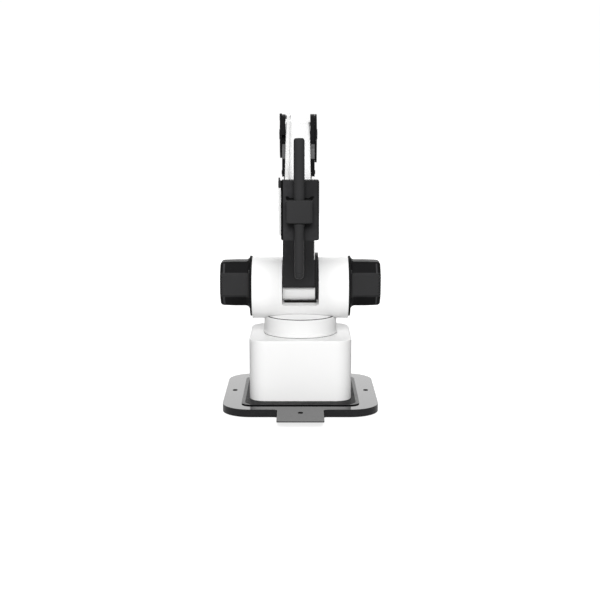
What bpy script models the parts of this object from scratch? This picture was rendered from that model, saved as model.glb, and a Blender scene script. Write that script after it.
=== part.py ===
"""Desktop robot arm: a rotating shoulder on a square base, a parallelogram
arm with a level-keeping linkage, and a pen holder as its tool.

Metres, +Z up. Origin: centre of the underside, on the turning axis of the
turret. Front of the machine is -Y, +X is its left-hand side seen from behind.
"""
import math

import bpy
import bmesh
from mathutils import Matrix, Vector

MM = 0.001

# ---------------------------------------------------------------- dimensions
# base (mm)
PLATE_HALF = 74.8          # square base plate, half side
PLATE_CORNER = 27.0
PLATE_FRONT = -76.6        # y of its front edge
PLATE_Z0, PLATE_Z1 = 0.7, 8.0
TAB_HALF = 21.8            # front tab, half width
TAB_FRONT = -118.5         # y of its front edge
TAB_LIP_Y, TAB_LIP_Z = -92.0, 7.1   # underside of the tab rises to a thin lip
PAD_INSET = 2.2
SKIRT_HALF, SKIRT_FRONT, SKIRT_CORNER = 56.5, -62.3, 9.0
SKIRT_Z0, SKIRT_Z1 = 8.3, 9.0
BODY_HALF, BODY_CORNER = 49.5, 16.5
BODY_Z0, BODY_Z1 = 8.3, 68.0
BODY_WALL = 2.8
HOLE_R = 2.3
HOLE_AT = ((65.8, 0.0), (-65.8, 0.0), (0.0, 65.8), (0.0, -88.0))

# turret (mm)
NECK_R, NECK_FOOT_R = 35.6, 36.6
NECK_Z0, NECK_Z1 = 68.3, 84.4
DOME_TOP = 90.5
DRUM_R, DRUM_Z = 30.3, 112.7       # horizontal shoulder drum
DRUM_X0, DRUM_X1 = -47.3, 46.9
SLOT_HALF, SLOT_FLOOR, SLOT_CORNER = 17.9, 98.6, 3.0
FLANGE_R, FLANGE_Z, FLANGE_T = 29.9, 114.5, 1.8
COVER_HALF, COVER_CHAMFER = 21.9, 11.8
COVER_AXIS = (0.0, 118.0)
COVER_END = 79.0
MOTOR_HALF = 20.0

# linkage, in the plane of the arm: (y, z) in mm
SHOULDER = (0.0, 117.0)
ELBOW = (42.0, 263.0)
WRIST = (-91.0, 205.0)
LEVEL_ARM = (26.9, -2.35)    # shoulder->anchor pivot and elbow->rear pivot of the level plate
LINK_ARM = (-5.0, 17.0)      # elbow->front pivot of the level plate and wrist->head pivot
CRANK_R = 25.5               # crank throw, opposite to the forearm
HUB_R = 16.8
FORK_R = 8.2
DISC_R, DISC_DROP = 21.9, 2.0      # round elbow plates, centred a little below the axis

# layers across the arm (mm)
ARM_X0, ARM_X1 = -17.3, 14.2
FORE_X0, FORE_X1 = -14.4, 9.5
FORK_L = (-18.2, -14.8)
FORK_R_X = (9.9, 14.2)
OUTER_R = (14.5, 16.4)
LEVEL_X = (-20.5, -18.6)
ROD_A_X = (-13.5, -9.5)
LINK_X = (-13.5, -10.5)
ROD_D_X = (10.3, 13.6)
CRANK_X = (14.6, 17.4)

# tool (mm)
BRACKET_Y0, BRACKET_Y1 = -106.0, -103.0
BLOCK_X0, BLOCK_X1 = -17.1, 16.4
BLOCK_Y0, BLOCK_Y1 = -120.0, -106.3
BLOCK_Z0, BLOCK_Z1 = 172.3, 225.0
PEN_X, PEN_Y, PEN_R = -1.15, -126.0, 4.8
PEN_Z0, PEN_Z1 = 139.3, 261.4
PEN_LOW_R, PEN_STEP_Z = 4.2, 186.0
CLIP_X0, CLIP_X1 = -12.2, 10.4
CLIP_Y0, CLIP_Y1 = -133.0, -120.3
CLIP_Z0, CLIP_Z1 = 188.2, 208.2

# ------------------------------------------------------------ derived points
def add(p, q):
    return (p[0] + q[0], p[1] + q[1])


ARM_LEN = math.dist(SHOULDER, ELBOW)
FORE_LEN = math.dist(ELBOW, WRIST)
A_DIR = ((ELBOW[0] - SHOULDER[0]) / ARM_LEN, (ELBOW[1] - SHOULDER[1]) / ARM_LEN)
N_DIR = (-A_DIR[1], A_DIR[0])                      # towards the front of the lower arm
F_DIR = ((WRIST[0] - ELBOW[0]) / FORE_LEN, (WRIST[1] - ELBOW[1]) / FORE_LEN)
U_DIR = (F_DIR[1], -F_DIR[0])                      # towards the top of the forearm
G_VEC = (-F_DIR[0] * CRANK_R, -F_DIR[1] * CRANK_R)
ANCHOR = add(SHOULDER, LEVEL_ARM)
LEVEL_REAR = add(ELBOW, LEVEL_ARM)
LEVEL_FRONT = add(ELBOW, LINK_ARM)
HEAD_PIVOT = add(WRIST, LINK_ARM)
CRANK_PIN = add(SHOULDER, G_VEC)
FORE_PIN = add(ELBOW, G_VEC)


def arm(a, n):
    """Point of the lower arm: a along it from the shoulder, n to its front."""
    return (SHOULDER[0] + a * A_DIR[0] + n * N_DIR[0], SHOULDER[1] + a * A_DIR[1] + n * N_DIR[1])


def fore(f, u):
    """Point of the forearm: f along it from the elbow, u to its top."""
    return (ELBOW[0] + f * F_DIR[0] + u * U_DIR[0], ELBOW[1] + f * F_DIR[1] + u * U_DIR[1])


# ------------------------------------------------------------------- set-up
for old in list(bpy.data.objects):
    bpy.data.objects.remove(old, do_unlink=True)

scene = bpy.context.scene
scene.unit_settings.system = "METRIC"
PARTS = bpy.data.collections.new("desktop_robot_arm")
CUTTERS = bpy.data.collections.new("cutters")
scene.collection.children.link(PARTS)
scene.collection.children.link(CUTTERS)

MATERIALS = {
    "white_plastic": ((0.86, 0.86, 0.85), 0.38, 0.0),
    "black_plastic": ((0.035, 0.035, 0.037), 0.45, 0.0),
    "gloss_black": ((0.012, 0.012, 0.013), 0.12, 0.0),
    "rubber": ((0.02, 0.02, 0.02), 0.8, 0.0),
    "steel": ((0.6, 0.6, 0.61), 0.3, 1.0),
    "dark_steel": ((0.12, 0.12, 0.125), 0.4, 1.0),
    "aluminium": ((0.75, 0.76, 0.77), 0.4, 1.0),
    "brass": ((0.75, 0.55, 0.25), 0.35, 1.0),
    "board": ((0.02, 0.16, 0.07), 0.5, 0.0),
}


def material(kind, name):
    colour, rough, metal = MATERIALS[kind]
    m = bpy.data.materials.new(name + "_" + kind)
    m.use_nodes = True
    b = m.node_tree.nodes["Principled BSDF"]
    b.inputs["Base Color"].default_value = (*colour, 1.0)
    b.inputs["Roughness"].default_value = rough
    b.inputs["Metallic"].default_value = metal
    return m


# joint empties: a body's pieces are parented to the empty on its axis
PIVOTS = {}


def pivot(name, x, yz, parent=None):
    e = bpy.data.objects.new("axis_" + name, None)
    e.empty_display_size = 0.01
    PARTS.objects.link(e)
    world = Vector((x * MM, yz[0] * MM, yz[1] * MM))
    if parent:
        e.parent = PIVOTS[parent][0]
        e.location = world - PIVOTS[parent][1]
    else:
        e.location = world
    PIVOTS[name] = (e, world)


pivot("turret", 0, (0, NECK_Z0))
pivot("yaw_pulley", 0, (25.0, 50.0))
pivot("power_button", 34.0, (49.5, 40.0))
pivot("lower_arm", 0, SHOULDER, "turret")
pivot("level_plate", LEVEL_X[0], ELBOW, "lower_arm")
pivot("forearm", 0, ELBOW, "level_plate")
pivot("head_link", LINK_X[0], LEVEL_FRONT, "level_plate")
pivot("head", 0, WRIST, "forearm")
pivot("pen", PEN_X, (PEN_Y, CLIP_Z0), "head")
pivot("level_rod", ROD_A_X[0], ANCHOR, "turret")
pivot("crank", CRANK_X[0], SHOULDER, "turret")
pivot("crank_bush", ROD_D_X[0], CRANK_PIN, "crank")
pivot("drive_rod", ROD_D_X[0], CRANK_PIN, "crank_bush")

# ------------------------------------------------------------------ helpers
SEG = 20


def place(mesh, name, kind, body=None, smooth=True, loc=(0, 0, 0)):
    """Makes a named part from a mesh in world position, on the body's empty."""
    ob = bpy.data.objects.new(name, mesh)
    mesh.name = name
    if kind is None:
        CUTTERS.objects.link(ob)
        ob.hide_render = True
        ob.display_type = "WIRE"
    else:
        PARTS.objects.link(ob)
        mesh.materials.clear()
        mesh.materials.append(material(kind, name))
    ob.location = Vector(loc) * MM
    if body:
        ob.parent = PIVOTS[body][0]
        ob.location = ob.location - PIVOTS[body][1]
    if smooth and kind is not None:
        mesh.shade_smooth()
        mesh.set_sharp_from_angle(angle=math.radians(35))
    return ob


def box_mesh(lo, hi):
    bm = bmesh.new()
    bmesh.ops.create_cube(bm, size=1.0)
    size = [(hi[i] - lo[i]) * MM for i in range(3)]
    mid = [(hi[i] + lo[i]) * 0.5 * MM for i in range(3)]
    bmesh.ops.scale(bm, vec=size, verts=bm.verts)
    bmesh.ops.translate(bm, vec=mid, verts=bm.verts)
    me = bpy.data.meshes.new("box")
    bm.to_mesh(me)
    bm.free()
    return me


def cyl_into(bm, r, lo, hi, centre, axis, seg=SEG, r2=None):
    """Adds a cylinder between lo and hi on an axis through centre (the other
    two world coordinates, in order)."""
    got = bmesh.ops.create_cone(bm, cap_ends=True, segments=seg, radius1=r * MM,
                                radius2=(r if r2 is None else r2) * MM, depth=(hi - lo) * MM)
    verts = got["verts"]
    mid = (lo + hi) * 0.5
    if axis == "X":
        m = Matrix.Translation(Vector((mid, centre[0], centre[1])) * MM) @ Matrix.Rotation(math.pi / 2, 4, "Y")
    elif axis == "Y":
        m = Matrix.Translation(Vector((centre[0], mid, centre[1])) * MM) @ Matrix.Rotation(-math.pi / 2, 4, "X")
    else:
        m = Matrix.Translation(Vector((centre[0], centre[1], mid)) * MM)
    bmesh.ops.transform(bm, matrix=m, verts=verts)


def cyl_mesh(r, lo, hi, centre, axis, seg=SEG, r2=None):
    bm = bmesh.new()
    cyl_into(bm, r, lo, hi, centre, axis, seg, r2)
    me = bpy.data.meshes.new("cyl")
    bm.to_mesh(me)
    bm.free()
    return me


def plate_mesh(loops, lo, hi, axis):
    """A flat outline with thickness, from a filled 2D curve. On axis X the
    outline is (y, z), on Y it is (x, z), on Z it is (x, y)."""
    cu = bpy.data.curves.new("outline", "CURVE")
    cu.dimensions = "2D"
    cu.fill_mode = "BOTH"
    cu.extrude = (hi - lo) * 0.5 * MM
    for loop in loops:
        sp = cu.splines.new("POLY")
        sp.points.add(len(loop) - 1)
        for p, q in zip(sp.points, loop):
            p.co = (q[0] * MM, q[1] * MM, 0, 1)
        sp.use_cyclic_u = True
    tmp = bpy.data.objects.new("outline", cu)
    CUTTERS.objects.link(tmp)
    dg = bpy.context.evaluated_depsgraph_get()
    me = bpy.data.meshes.new_from_object(tmp.evaluated_get(dg))
    bpy.data.objects.remove(tmp, do_unlink=True)
    bpy.data.curves.remove(cu)
    bm = bmesh.new()
    bm.from_mesh(me)
    bmesh.ops.remove_doubles(bm, verts=bm.verts, dist=0.00001)
    mid = (lo + hi) * 0.5 * MM
    if axis == "X":
        m = Matrix(((0, 0, 1, mid), (1, 0, 0, 0), (0, 1, 0, 0), (0, 0, 0, 1)))
    elif axis == "Y":
        m = Matrix(((1, 0, 0, 0), (0, 0, -1, mid), (0, 1, 0, 0), (0, 0, 0, 1)))
    else:
        m = Matrix.Translation((0, 0, mid))
    bmesh.ops.transform(bm, matrix=m, verts=bm.verts)
    bmesh.ops.recalc_face_normals(bm, faces=bm.faces)
    bm.to_mesh(me)
    bm.free()
    return me


def join_meshes(meshes):
    """Several meshes in one, as separate bodies."""
    bm = bmesh.new()
    for me in meshes:
        bm.from_mesh(me)
        bpy.data.meshes.remove(me)
    me = bpy.data.meshes.new("group")
    bm.to_mesh(me)
    bm.free()
    return me


def bevel(ob, width, segments=2, angle=40):
    b = ob.modifiers.new("bevel", "BEVEL")
    b.width = width * MM
    b.segments = segments
    b.limit_method = "ANGLE"
    b.angle_limit = math.radians(angle)
    b.use_clamp_overlap = True
    return b


def boolean(ob, mesh, op="DIFFERENCE", name="cut"):
    cutter = place(mesh, ob.name + "_" + name, None)
    b = ob.modifiers.new(name, "BOOLEAN")
    b.object = cutter
    b.operation = op
    b.solver = "EXACT"
    return cutter


def ring(radius, seg, centre=(0, 0), start=0.0):
    return [(centre[0] + radius * math.cos(start + 2 * math.pi * i / seg),
             centre[1] + radius * math.sin(start + 2 * math.pi * i / seg)) for i in range(seg)]


def round_rect(x0, x1, y0, y1, r, seg=6):
    pts = []
    for cx, cy, a in ((x1 - r, y1 - r, 0), (x0 + r, y1 - r, 90), (x0 + r, y0 + r, 180), (x1 - r, y0 + r, 270)):
        for i in range(seg + 1):
            t = math.radians(a + 90 * i / seg)
            pts.append((cx + r * math.cos(t), cy + r * math.sin(t)))
    return pts


def hull(points):
    """Convex outline round points, counter-clockwise."""
    pts = sorted(set((round(x, 5), round(y, 5)) for x, y in points))

    def half(seq):
        out = []
        for p in seq:
            while len(out) > 1 and ((out[-1][0] - out[-2][0]) * (p[1] - out[-2][1])
                                    - (out[-1][1] - out[-2][1]) * (p[0] - out[-2][0])) <= 1e-9:
                out.pop()
            out.append(p)
        return out[:-1]

    return half(pts) + half(pts[::-1])


def belt_outline(circles, seg=24):
    pts = []
    for centre, r in circles:
        pts += ring(r, seg, centre)
    return hull(pts)


def turned(name, profile, kind, body=None, loc=(0, 0, 0), steps=40):
    """A turned shape on the Z axis through loc: profile (radius, z) in mm,
    from the top down the outside, starting and ending on the axis or closed."""
    me = bpy.data.meshes.new(name)
    bm = bmesh.new()
    verts = [bm.verts.new((r * MM, 0, z * MM)) for r, z in profile]
    for a, b in zip(verts, verts[1:]):
        bm.edges.new((a, b))
    closed = profile[0][0] > 0.001
    if closed:
        bm.edges.new((verts[-1], verts[0]))
    bm.to_mesh(me)
    bm.free()
    ob = place(me, name, kind, body, smooth=False, loc=loc)
    s = ob.modifiers.new("turn", "SCREW")
    s.angle = 2 * math.pi
    s.steps = s.render_steps = steps
    s.use_merge_vertices = True
    s.merge_threshold = 0.00001
    s.use_smooth_shade = True
    return ob


# --------------------------------------------------------------------- base
def plate_outline(inset=0.0, front=TAB_FRONT):
    """Square plate with round corners and a tab at its front edge."""
    h = PLATE_HALF - inset
    b = PLATE_FRONT + inset
    r = PLATE_CORNER - inset
    t = TAB_HALF - inset
    f = 4.0
    pts = []
    for cx, cy, a in ((h - r, h - r, 0), (-h + r, h - r, 90), (-h + r, b + r, 180)):
        for i in range(9):
            w = math.radians(a + 90 * i / 8)
            pts.append((cx + r * math.cos(w), cy + r * math.sin(w)))
    for i in range(5):                                    # fillet into the tab, left
        w = math.radians(90 - 90 * i / 4)
        pts.append((-t - f + f * math.cos(w), b - f + f * math.sin(w)))
    rt = 2.5
    for i in range(4):
        w = math.radians(180 + 90 * i / 3)
        pts.append((-t + rt + rt * math.cos(w), front + rt + rt * math.sin(w)))
    for i in range(4):
        w = math.radians(270 + 90 * i / 3)
        pts.append((t - rt + rt * math.cos(w), front + rt + rt * math.sin(w)))
    for i in range(5):
        w = math.radians(180 - 90 * i / 4)
        pts.append((t + f + f * math.cos(w), b - f + f * math.sin(w)))
    for i in range(9):
        w = math.radians(270 + 90 * i / 8)
        pts.append((h - r + r * math.cos(w), b + r + r * math.sin(w)))
    return pts


place(plate_mesh([plate_outline(PAD_INSET, TAB_LIP_Y + 1.0)], 0.0, 0.4, "Z"), "anti_slip_pad", "rubber")
ob = place(plate_mesh([plate_outline()] + [ring(HOLE_R, 16, c) for c in HOLE_AT], PLATE_Z0, PLATE_Z1, "Z"),
           "base_plate", "gloss_black")
tab = bmesh.new()
tab.from_mesh(ob.data)
bmesh.ops.bisect_plane(tab, geom=tab.verts[:] + tab.edges[:] + tab.faces[:], dist=1e-7,
                       plane_co=(0, TAB_LIP_Y * MM, 0), plane_no=(0, 1, 0))
for v in tab.verts:                                       # thin lip under the front of the tab
    if v.co.y < (TAB_LIP_Y - 0.01) * MM and v.co.z < (PLATE_Z0 + 0.1) * MM:
        v.co.z += (TAB_LIP_Z - PLATE_Z0) * MM * (TAB_LIP_Y * MM - v.co.y) / ((TAB_LIP_Y - TAB_FRONT) * MM)
tab.to_mesh(ob.data)
tab.free()
place(plate_mesh([round_rect(-SKIRT_HALF, SKIRT_HALF, SKIRT_FRONT, SKIRT_HALF, SKIRT_CORNER),
                  round_rect(-BODY_HALF - 0.3, BODY_HALF + 0.3, -BODY_HALF - 0.3, BODY_HALF + 0.3, BODY_CORNER + 0.3, 8)],
                 SKIRT_Z0, SKIRT_Z1, "Z"), "base_skirt", "gloss_black")

body = place(plate_mesh([round_rect(-BODY_HALF, BODY_HALF, -BODY_HALF, BODY_HALF, BODY_CORNER, 8)],
                        BODY_Z0, BODY_Z1, "Z"), "base_housing", "white_plastic")
bevel(body, 1.2, 1, 60)
inner = BODY_HALF - BODY_WALL
boolean(body, plate_mesh([round_rect(-inner, inner, -inner, inner, BODY_CORNER - BODY_WALL, 6)],
                         BODY_Z0 - 2, BODY_Z1 - BODY_WALL, "Z"), name="cavity")
boolean(body, cyl_mesh(12.0, BODY_Z1 - 6, BODY_Z1 + 3, (0, 0), "Z", 24), name="shaft_hole")
boolean(body, join_meshes([
    box_mesh((26.6, inner - 8, 15.6), (41.4, BODY_HALF + 2, 28.4)),
    cyl_mesh(6.3, inner - 8, BODY_HALF + 2, (34.0, 40.0), "Y", 20),
    box_mesh((-38.9, inner - 8, 19.4), (-27.1, BODY_HALF + 2, 25.0)),
]), name="ports")

floor = place(plate_mesh([round_rect(-46.2, 46.2, -46.2, 46.2, 13.0, 4)], 8.4, 11.8, "Z"), "base_floor",
              "dark_steel")
boolean(floor, join_meshes([cyl_mesh(2.6, 11.0, 17.0, (x, y), "Z", 10) for x in (-32, 32) for y in (-36, -8)]),
        "UNION", "standoffs")
board = place(box_mesh((-38, -40, 17.3), (38, -4, 18.9)), "main_board", "board")
boolean(board, join_meshes([box_mesh((-24, -34, 18.0), (-8, -18, 21.4)), box_mesh((0, -36, 18.0), (10, -26, 23.0)),
                            box_mesh((16, -36, 18.0), (26, -26, 23.0)), box_mesh((-6, -16, 18.0), (24, -9, 27.0))]),
        "UNION", "chips")

m = place(box_mesh((-21, 4, 12.1), (21, 46, 46.0)), "yaw_motor", "dark_steel")
bevel(m, 3.0, 1)
p = place(cyl_mesh(2.5, 46.3, 58.0, (0, 25.0), "Z", 16), "yaw_pulley", "aluminium", "yaw_pulley")
boolean(p, cyl_mesh(6.0, 48.6, 56.4, (0, 25.0), "Z", 24), "UNION", "rim")
boolean(p, cyl_mesh(7.4, 47.4, 48.8, (0, 25.0), "Z", 24), "UNION", "lower_flange")

belt = place(plate_mesh([belt_outline([((0, 0), 16.6), ((0, 25.0), 7.6)], 32),
                         belt_outline([((0, 0), 15.3), ((0, 25.0), 6.3)], 32)], 49.6, 55.6, "Z"),
             "timing_belt", "rubber")

turned("slew_bearing_outer", [(21.5, 64.9), (21.5, 57.8), (15.9, 57.8), (15.9, 64.9)], "steel", steps=24)

inlet = place(box_mesh((27.0, 37.0, 16.0), (41.0, 49.0, 28.0)), "power_inlet", "black_plastic")
boolean(inlet, cyl_mesh(4.2, 40.0, 52.0, (34.0, 22.0), "Y", 20), name="socket")
boolean(inlet, cyl_mesh(1.1, 39.5, 47.5, (34.0, 22.0), "Y", 10), "UNION", "contact")
usb = place(box_mesh((-38.5, 40.0, 19.8), (-27.5, 49.0, 24.6)), "usb_port", "steel")
boolean(usb, box_mesh((-37.4, 42.0, 20.9), (-28.6, 52.0, 23.5)), name="mouth")
b = place(cyl_mesh(5.9, 41.0, 50.9, (34.0, 40.0), "Y", 24), "power_button", "black_plastic", "power_button")
bevel(b, 0.5, 1)

# ------------------------------------------------------------------- turret
neck = turned("neck", [
    (0, DOME_TOP), (24, DOME_TOP - 2.6), (32.5, NECK_Z1 + 1.2), (34.9, NECK_Z1 + 0.2),
    (35.5, NECK_Z1 - 0.6), (NECK_R, NECK_Z1 - 1.4), (NECK_R + 0.5, 70.8), (NECK_FOOT_R, 70.2),
    (NECK_FOOT_R, NECK_Z0), (31, NECK_Z0), (31, 77.0), (9.3, 77.0), (9.3, 74.0), (6.2, 74.0), (6.2, 77.5), (0, 77.5)],
    "white_plastic", "turret", steps=32)
boolean(neck, cyl_mesh(DRUM_R + 0.3, DRUM_X0 - 5, DRUM_X1 + 5, (0, DRUM_Z), "X", 64), name="drum")
boolean(neck, cyl_mesh(6.2, 70, 100, (0, 0), "Z", 20), name="cable_way")

turned("turret_shaft", [(9.0, 73.7), (9.0, 47.4), (6.3, 47.4), (6.3, 73.7)], "steel", "turret", steps=24)
turned("turret_pulley", [(15.0, 56.4), (15.0, 48.6), (9.3, 48.6), (9.3, 56.4)], "aluminium", "turret", steps=24)
turned("slew_bearing_inner", [(15.6, 64.9), (15.6, 57.8), (9.3, 57.8), (9.3, 64.9)], "steel", "turret", steps=24)

drum = place(cyl_mesh(DRUM_R, DRUM_X0, DRUM_X1, (0, DRUM_Z), "X", 56), "shoulder_housing", "white_plastic", "turret")
bevel(drum, 1.0, 1, 60)
slot = place(plate_mesh([round_rect(-SLOT_HALF, SLOT_HALF, SLOT_FLOOR, 190, SLOT_CORNER, 4)], -60, 60, "Y"),
             "shoulder_housing_slot", None)
mod = drum.modifiers.new("slot", "BOOLEAN")
mod.object = slot
mod.solver = "EXACT"
for side, x0, x1 in (("left", DRUM_X0 - 2, -20.6), ("right", 20.6, DRUM_X1 + 2)):
    boolean(drum, cyl_mesh(21.5, x0, x1, SHOULDER, "X", 36), name="bore_" + side)
    mid = -19.0 if side == "left" else 19.0
    boolean(drum, cyl_mesh(6.4, mid - 3, mid + 3, SHOULDER, "X", 20), name="eye_" + side)
boolean(drum, cyl_mesh(2.3, -20.4, -16, ANCHOR, "X", 14), name="anchor_hole")


def octagon(half, chamfer, centre):
    c = chamfer / math.sqrt(2)
    return [(centre[0] + sx, centre[1] + sz) for sx, sz in (
        (half, half - c), (half - c, half), (-half + c, half), (-half, half - c),
        (-half, -half + c), (-half + c, -half), (half - c, -half), (half, -half + c))]


for side, sgn, drum_end in (("left", -1, DRUM_X0), ("right", 1, DRUM_X1)):
    f0 = drum_end + sgn * 0.3
    f1 = f0 + sgn * FLANGE_T
    lo, hi = min(f0, f1), max(f0, f1)
    place(plate_mesh([ring(FLANGE_R, 44, (0, FLANGE_Z)), ring(8.0, 14, SHOULDER)], lo, hi, "X"),
          "flange_" + side, "black_plastic", "turret")
    c0 = f1 + sgn * 0.3
    c1 = sgn * COVER_END
    lo, hi = min(c0, c1), max(c0, c1)
    cover = place(plate_mesh([octagon(COVER_HALF, COVER_CHAMFER, COVER_AXIS)], lo, hi, "X"),
                  "motor_cover_" + side, "black_plastic", "turret")
    bevel(cover, 1.8, 2, 50)
    m0, m1 = c0 - sgn * 3, c1 - sgn * 2.2
    boolean(cover, plate_mesh([octagon(COVER_HALF - 1.4, COVER_CHAMFER - 0.6, COVER_AXIS)],
                              min(m0, m1), max(m0, m1), "X"), name="cavity")
    n0, n1 = c0, c0 + sgn * 26.0
    motor = place(plate_mesh([octagon(MOTOR_HALF, 12.0, COVER_AXIS)], min(n0, n1), max(n0, n1), "X"),
                  "shoulder_motor_" + side, "dark_steel", "turret")
    b0, b1 = n0 - sgn * 3, n0 + sgn * 12
    boolean(motor, cyl_mesh(3.2, min(b0, b1), max(b0, b1), SHOULDER, "X", 16), name="shaft_bore")
    g0, g1 = sgn * 21.0, drum_end - sgn * 0.4
    gear = place(plate_mesh([ring(18.5, 32, SHOULDER), ring(3.2, 16, SHOULDER)], min(g0, g1), max(g0, g1), "X"),
                 "gearbox_" + side, "aluminium", "turret")
for side, lo, hi in (("left", -20.4, -18.1), ("right", 18.1, 20.4)):
    place(plate_mesh([ring(6.1, 24, SHOULDER), ring(3.3, 16, SHOULDER)], lo, hi, "X"),
          "shoulder_bearing_" + side, "steel", "turret")
place(cyl_mesh(2.0, -20.2, -9.0, ANCHOR, "X", 14), "level_anchor_pin", "steel", "turret")

# ---------------------------------------------------------------- lower arm
core = place(plate_mesh([[arm(0, -5.5), arm(0, 17.9), arm(84, 17.9), arm(84, -5.5)][::-1]], ARM_X0, ARM_X1, "X"),
             "lower_arm_frame", "white_plastic", "lower_arm")
boolean(core, plate_mesh([[arm(-2, -14.0), arm(-2, 17.0), arm(86, 17.0), arm(125, -5.0), arm(125, -14.0)][::-1]],
                         FORE_X0, 9.4, "X"), "UNION", "tongue")
boolean(core, cyl_mesh(HUB_R, ARM_X0 - 0.1, ARM_X1 + 0.1, SHOULDER, "X", 40), "UNION", "hub")
boolean(core, cyl_mesh(3.2, -30, 30, SHOULDER, "X", 18), name="bore")

cover = place(plate_mesh([[arm(-7.2, 18.3), arm(-7.2, 20.5), arm(-5.6, 22.2), arm(72, 22.2), arm(76, 20.6),
                           arm(77, 18.3)][::-1]], ARM_X0, ARM_X1, "X"),
              "lower_arm_front_cover", "black_plastic", "lower_arm")


def groove_mesh():
    """Rounded groove down the middle of the front cover."""
    r = 5.9
    pts = [(PEN_X + r, 90.0), (PEN_X - r, 90.0)]
    pts += [(PEN_X - r * math.cos(math.radians(180 * i / 12)), 5.0 - r * math.sin(math.radians(180 * i / 12)))
            for i in range(13)]
    me = plate_mesh([pts], 20.9, 26.0, "Z")
    rot = Matrix(((1, 0, 0, 0), (0, A_DIR[0], N_DIR[0], SHOULDER[0] * MM), (0, A_DIR[1], N_DIR[1], SHOULDER[1] * MM),
                  (0, 0, 0, 1)))
    me.transform(rot)
    me.flip_normals()
    bm = bmesh.new()
    bm.from_mesh(me)
    bmesh.ops.recalc_face_normals(bm, faces=bm.faces)
    bm.to_mesh(me)
    bm.free()
    return me


boolean(cover, groove_mesh(), name="groove")
boolean(cover, plate_mesh([[arm(20, 17.0), arm(20, 24.0), arm(80, 24.0), arm(80, 17.0)][::-1]], 13.4, 16.0, "X"), name="side_cut")

FORK_OUTLINE = belt_outline([(ELBOW, FORK_R), (arm(ARM_LEN, 4.5), FORK_R + 0.8), (arm(96, 1.5), 9.0),
                             (arm(88.5, -3.5), 3.8), (arm(88.5, 7.0), 3.8)], 24)
FORK_DISC = [arm(ARM_LEN - DISC_DROP + DISC_R * math.cos(math.radians(t)), DISC_R * math.sin(math.radians(t)))
             for t in range(5, 141, 9)]
FORK_DISC += [arm(a, n) for a, n in ((92, 10.9), (88.5, 10.8), (85.6, 9.4), (84.7, 7.0), (84.7, -3.5), (85.8, -6.2),
                                     (88.5, -7.3), (ARM_LEN, -8.2), (ARM_LEN + 4.1, -7.1), (ARM_LEN + 7.1, -4.1))]
for name, xs, outline in (("elbow_fork_left", FORK_L, FORK_OUTLINE), ("elbow_fork_right", FORK_R_X, FORK_DISC[::-1])):
    place(plate_mesh([outline, ring(3.3, 18, ELBOW)], xs[0], xs[1], "X"), name, "black_plastic", "lower_arm")
place(plate_mesh([belt_outline([(arm(ARM_LEN - DISC_DROP, 0), DISC_R), (arm(ARM_LEN - 21, 0), 8.0)], 40), ring(3.3, 18, ELBOW)],
                 OUTER_R[0], OUTER_R[1], "X"), "elbow_plate_right", "black_plastic", "lower_arm")
axle = place(cyl_mesh(3.0, -21.0, 16.9, ELBOW, "X", 18), "elbow_axle", "steel", "lower_arm")
boolean(axle, cyl_mesh(5.2, -21.3, -20.8, ELBOW, "X", 18), "UNION", "head")
boolean(axle, cyl_mesh(5.2, 16.7, 17.2, ELBOW, "X", 18), "UNION", "nut")
place(cyl_mesh(2.8, -56.0, -16.0, SHOULDER, "X", 18), "shoulder_shaft_left", "steel", "lower_arm")

# -------------------------------------------------------- level plate, rods
DISC = (ELBOW[0], ELBOW[1] - DISC_DROP)
level = place(plate_mesh([belt_outline([(DISC, DISC_R), (LEVEL_REAR, 5.6), (LEVEL_FRONT, 3.6)], 40), ring(3.4, 18, ELBOW)],
                         LEVEL_X[0], LEVEL_X[1], "X"), "level_plate", "black_plastic", "level_plate")
rim = [(c[0] + r * math.cos(math.radians(t)), c[1] + r * math.sin(math.radians(t)))
       for c, r, turn in ((DISC, DISC_R - 0.3, range(62, 177, 6)), (ELBOW, 14.3, range(176, 61, -6))) for t in turn]
boolean(level, plate_mesh([rim], LEVEL_X[1] - 0.5, -15.0, "X"), "UNION", "rim")
boolean(level, join_meshes([cyl_mesh(2.3, -30, -10, c, "X", 14) for c in (LEVEL_REAR, LEVEL_FRONT)]), name="pin_holes")
place(cyl_mesh(2.0, -20.9, -8.9, LEVEL_REAR, "X", 14), "level_plate_rear_pin", "steel", "level_plate")
place(cyl_mesh(2.0, -20.9, -9.9, LEVEL_FRONT, "X", 14), "level_plate_front_pin", "steel", "level_plate")


def link_mesh(p, q, end_r, half, xs, holes):
    """Link bar: round eyes on both pivots, a straight bar between them."""
    d = math.dist(p, q)
    u = ((q[0] - p[0]) / d, (q[1] - p[1]) / d)
    v = (-u[1], u[0])
    pts = []
    open_angle = math.asin(half / end_r)
    base_p = math.atan2(-u[1], -u[0])
    base_q = math.atan2(u[1], u[0])
    for centre, base in ((p, base_p), (q, base_q)):
        for i in range(19):
            t = base - (math.pi - open_angle) + 2 * (math.pi - open_angle) * i / 18
            pts.append((centre[0] + end_r * math.cos(t), centre[1] + end_r * math.sin(t)))
    return plate_mesh([pts] + [ring(r, 16, c) for r, c in zip(holes, (p, q))], xs[0], xs[1], "X")


place(link_mesh(ANCHOR, LEVEL_REAR, 4.6, 2.9, ROD_A_X, (2.3, 2.3)), "level_rod", "white_plastic", "level_rod")
place(link_mesh(LEVEL_FRONT, HEAD_PIVOT, 4.0, 2.5, LINK_X, (2.3, 2.3)), "head_link", "white_plastic", "head_link")
place(link_mesh(CRANK_PIN, FORE_PIN, 4.9, 2.9, ROD_D_X, (3.7, 2.3)), "drive_rod", "white_plastic", "drive_rod")

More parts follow.
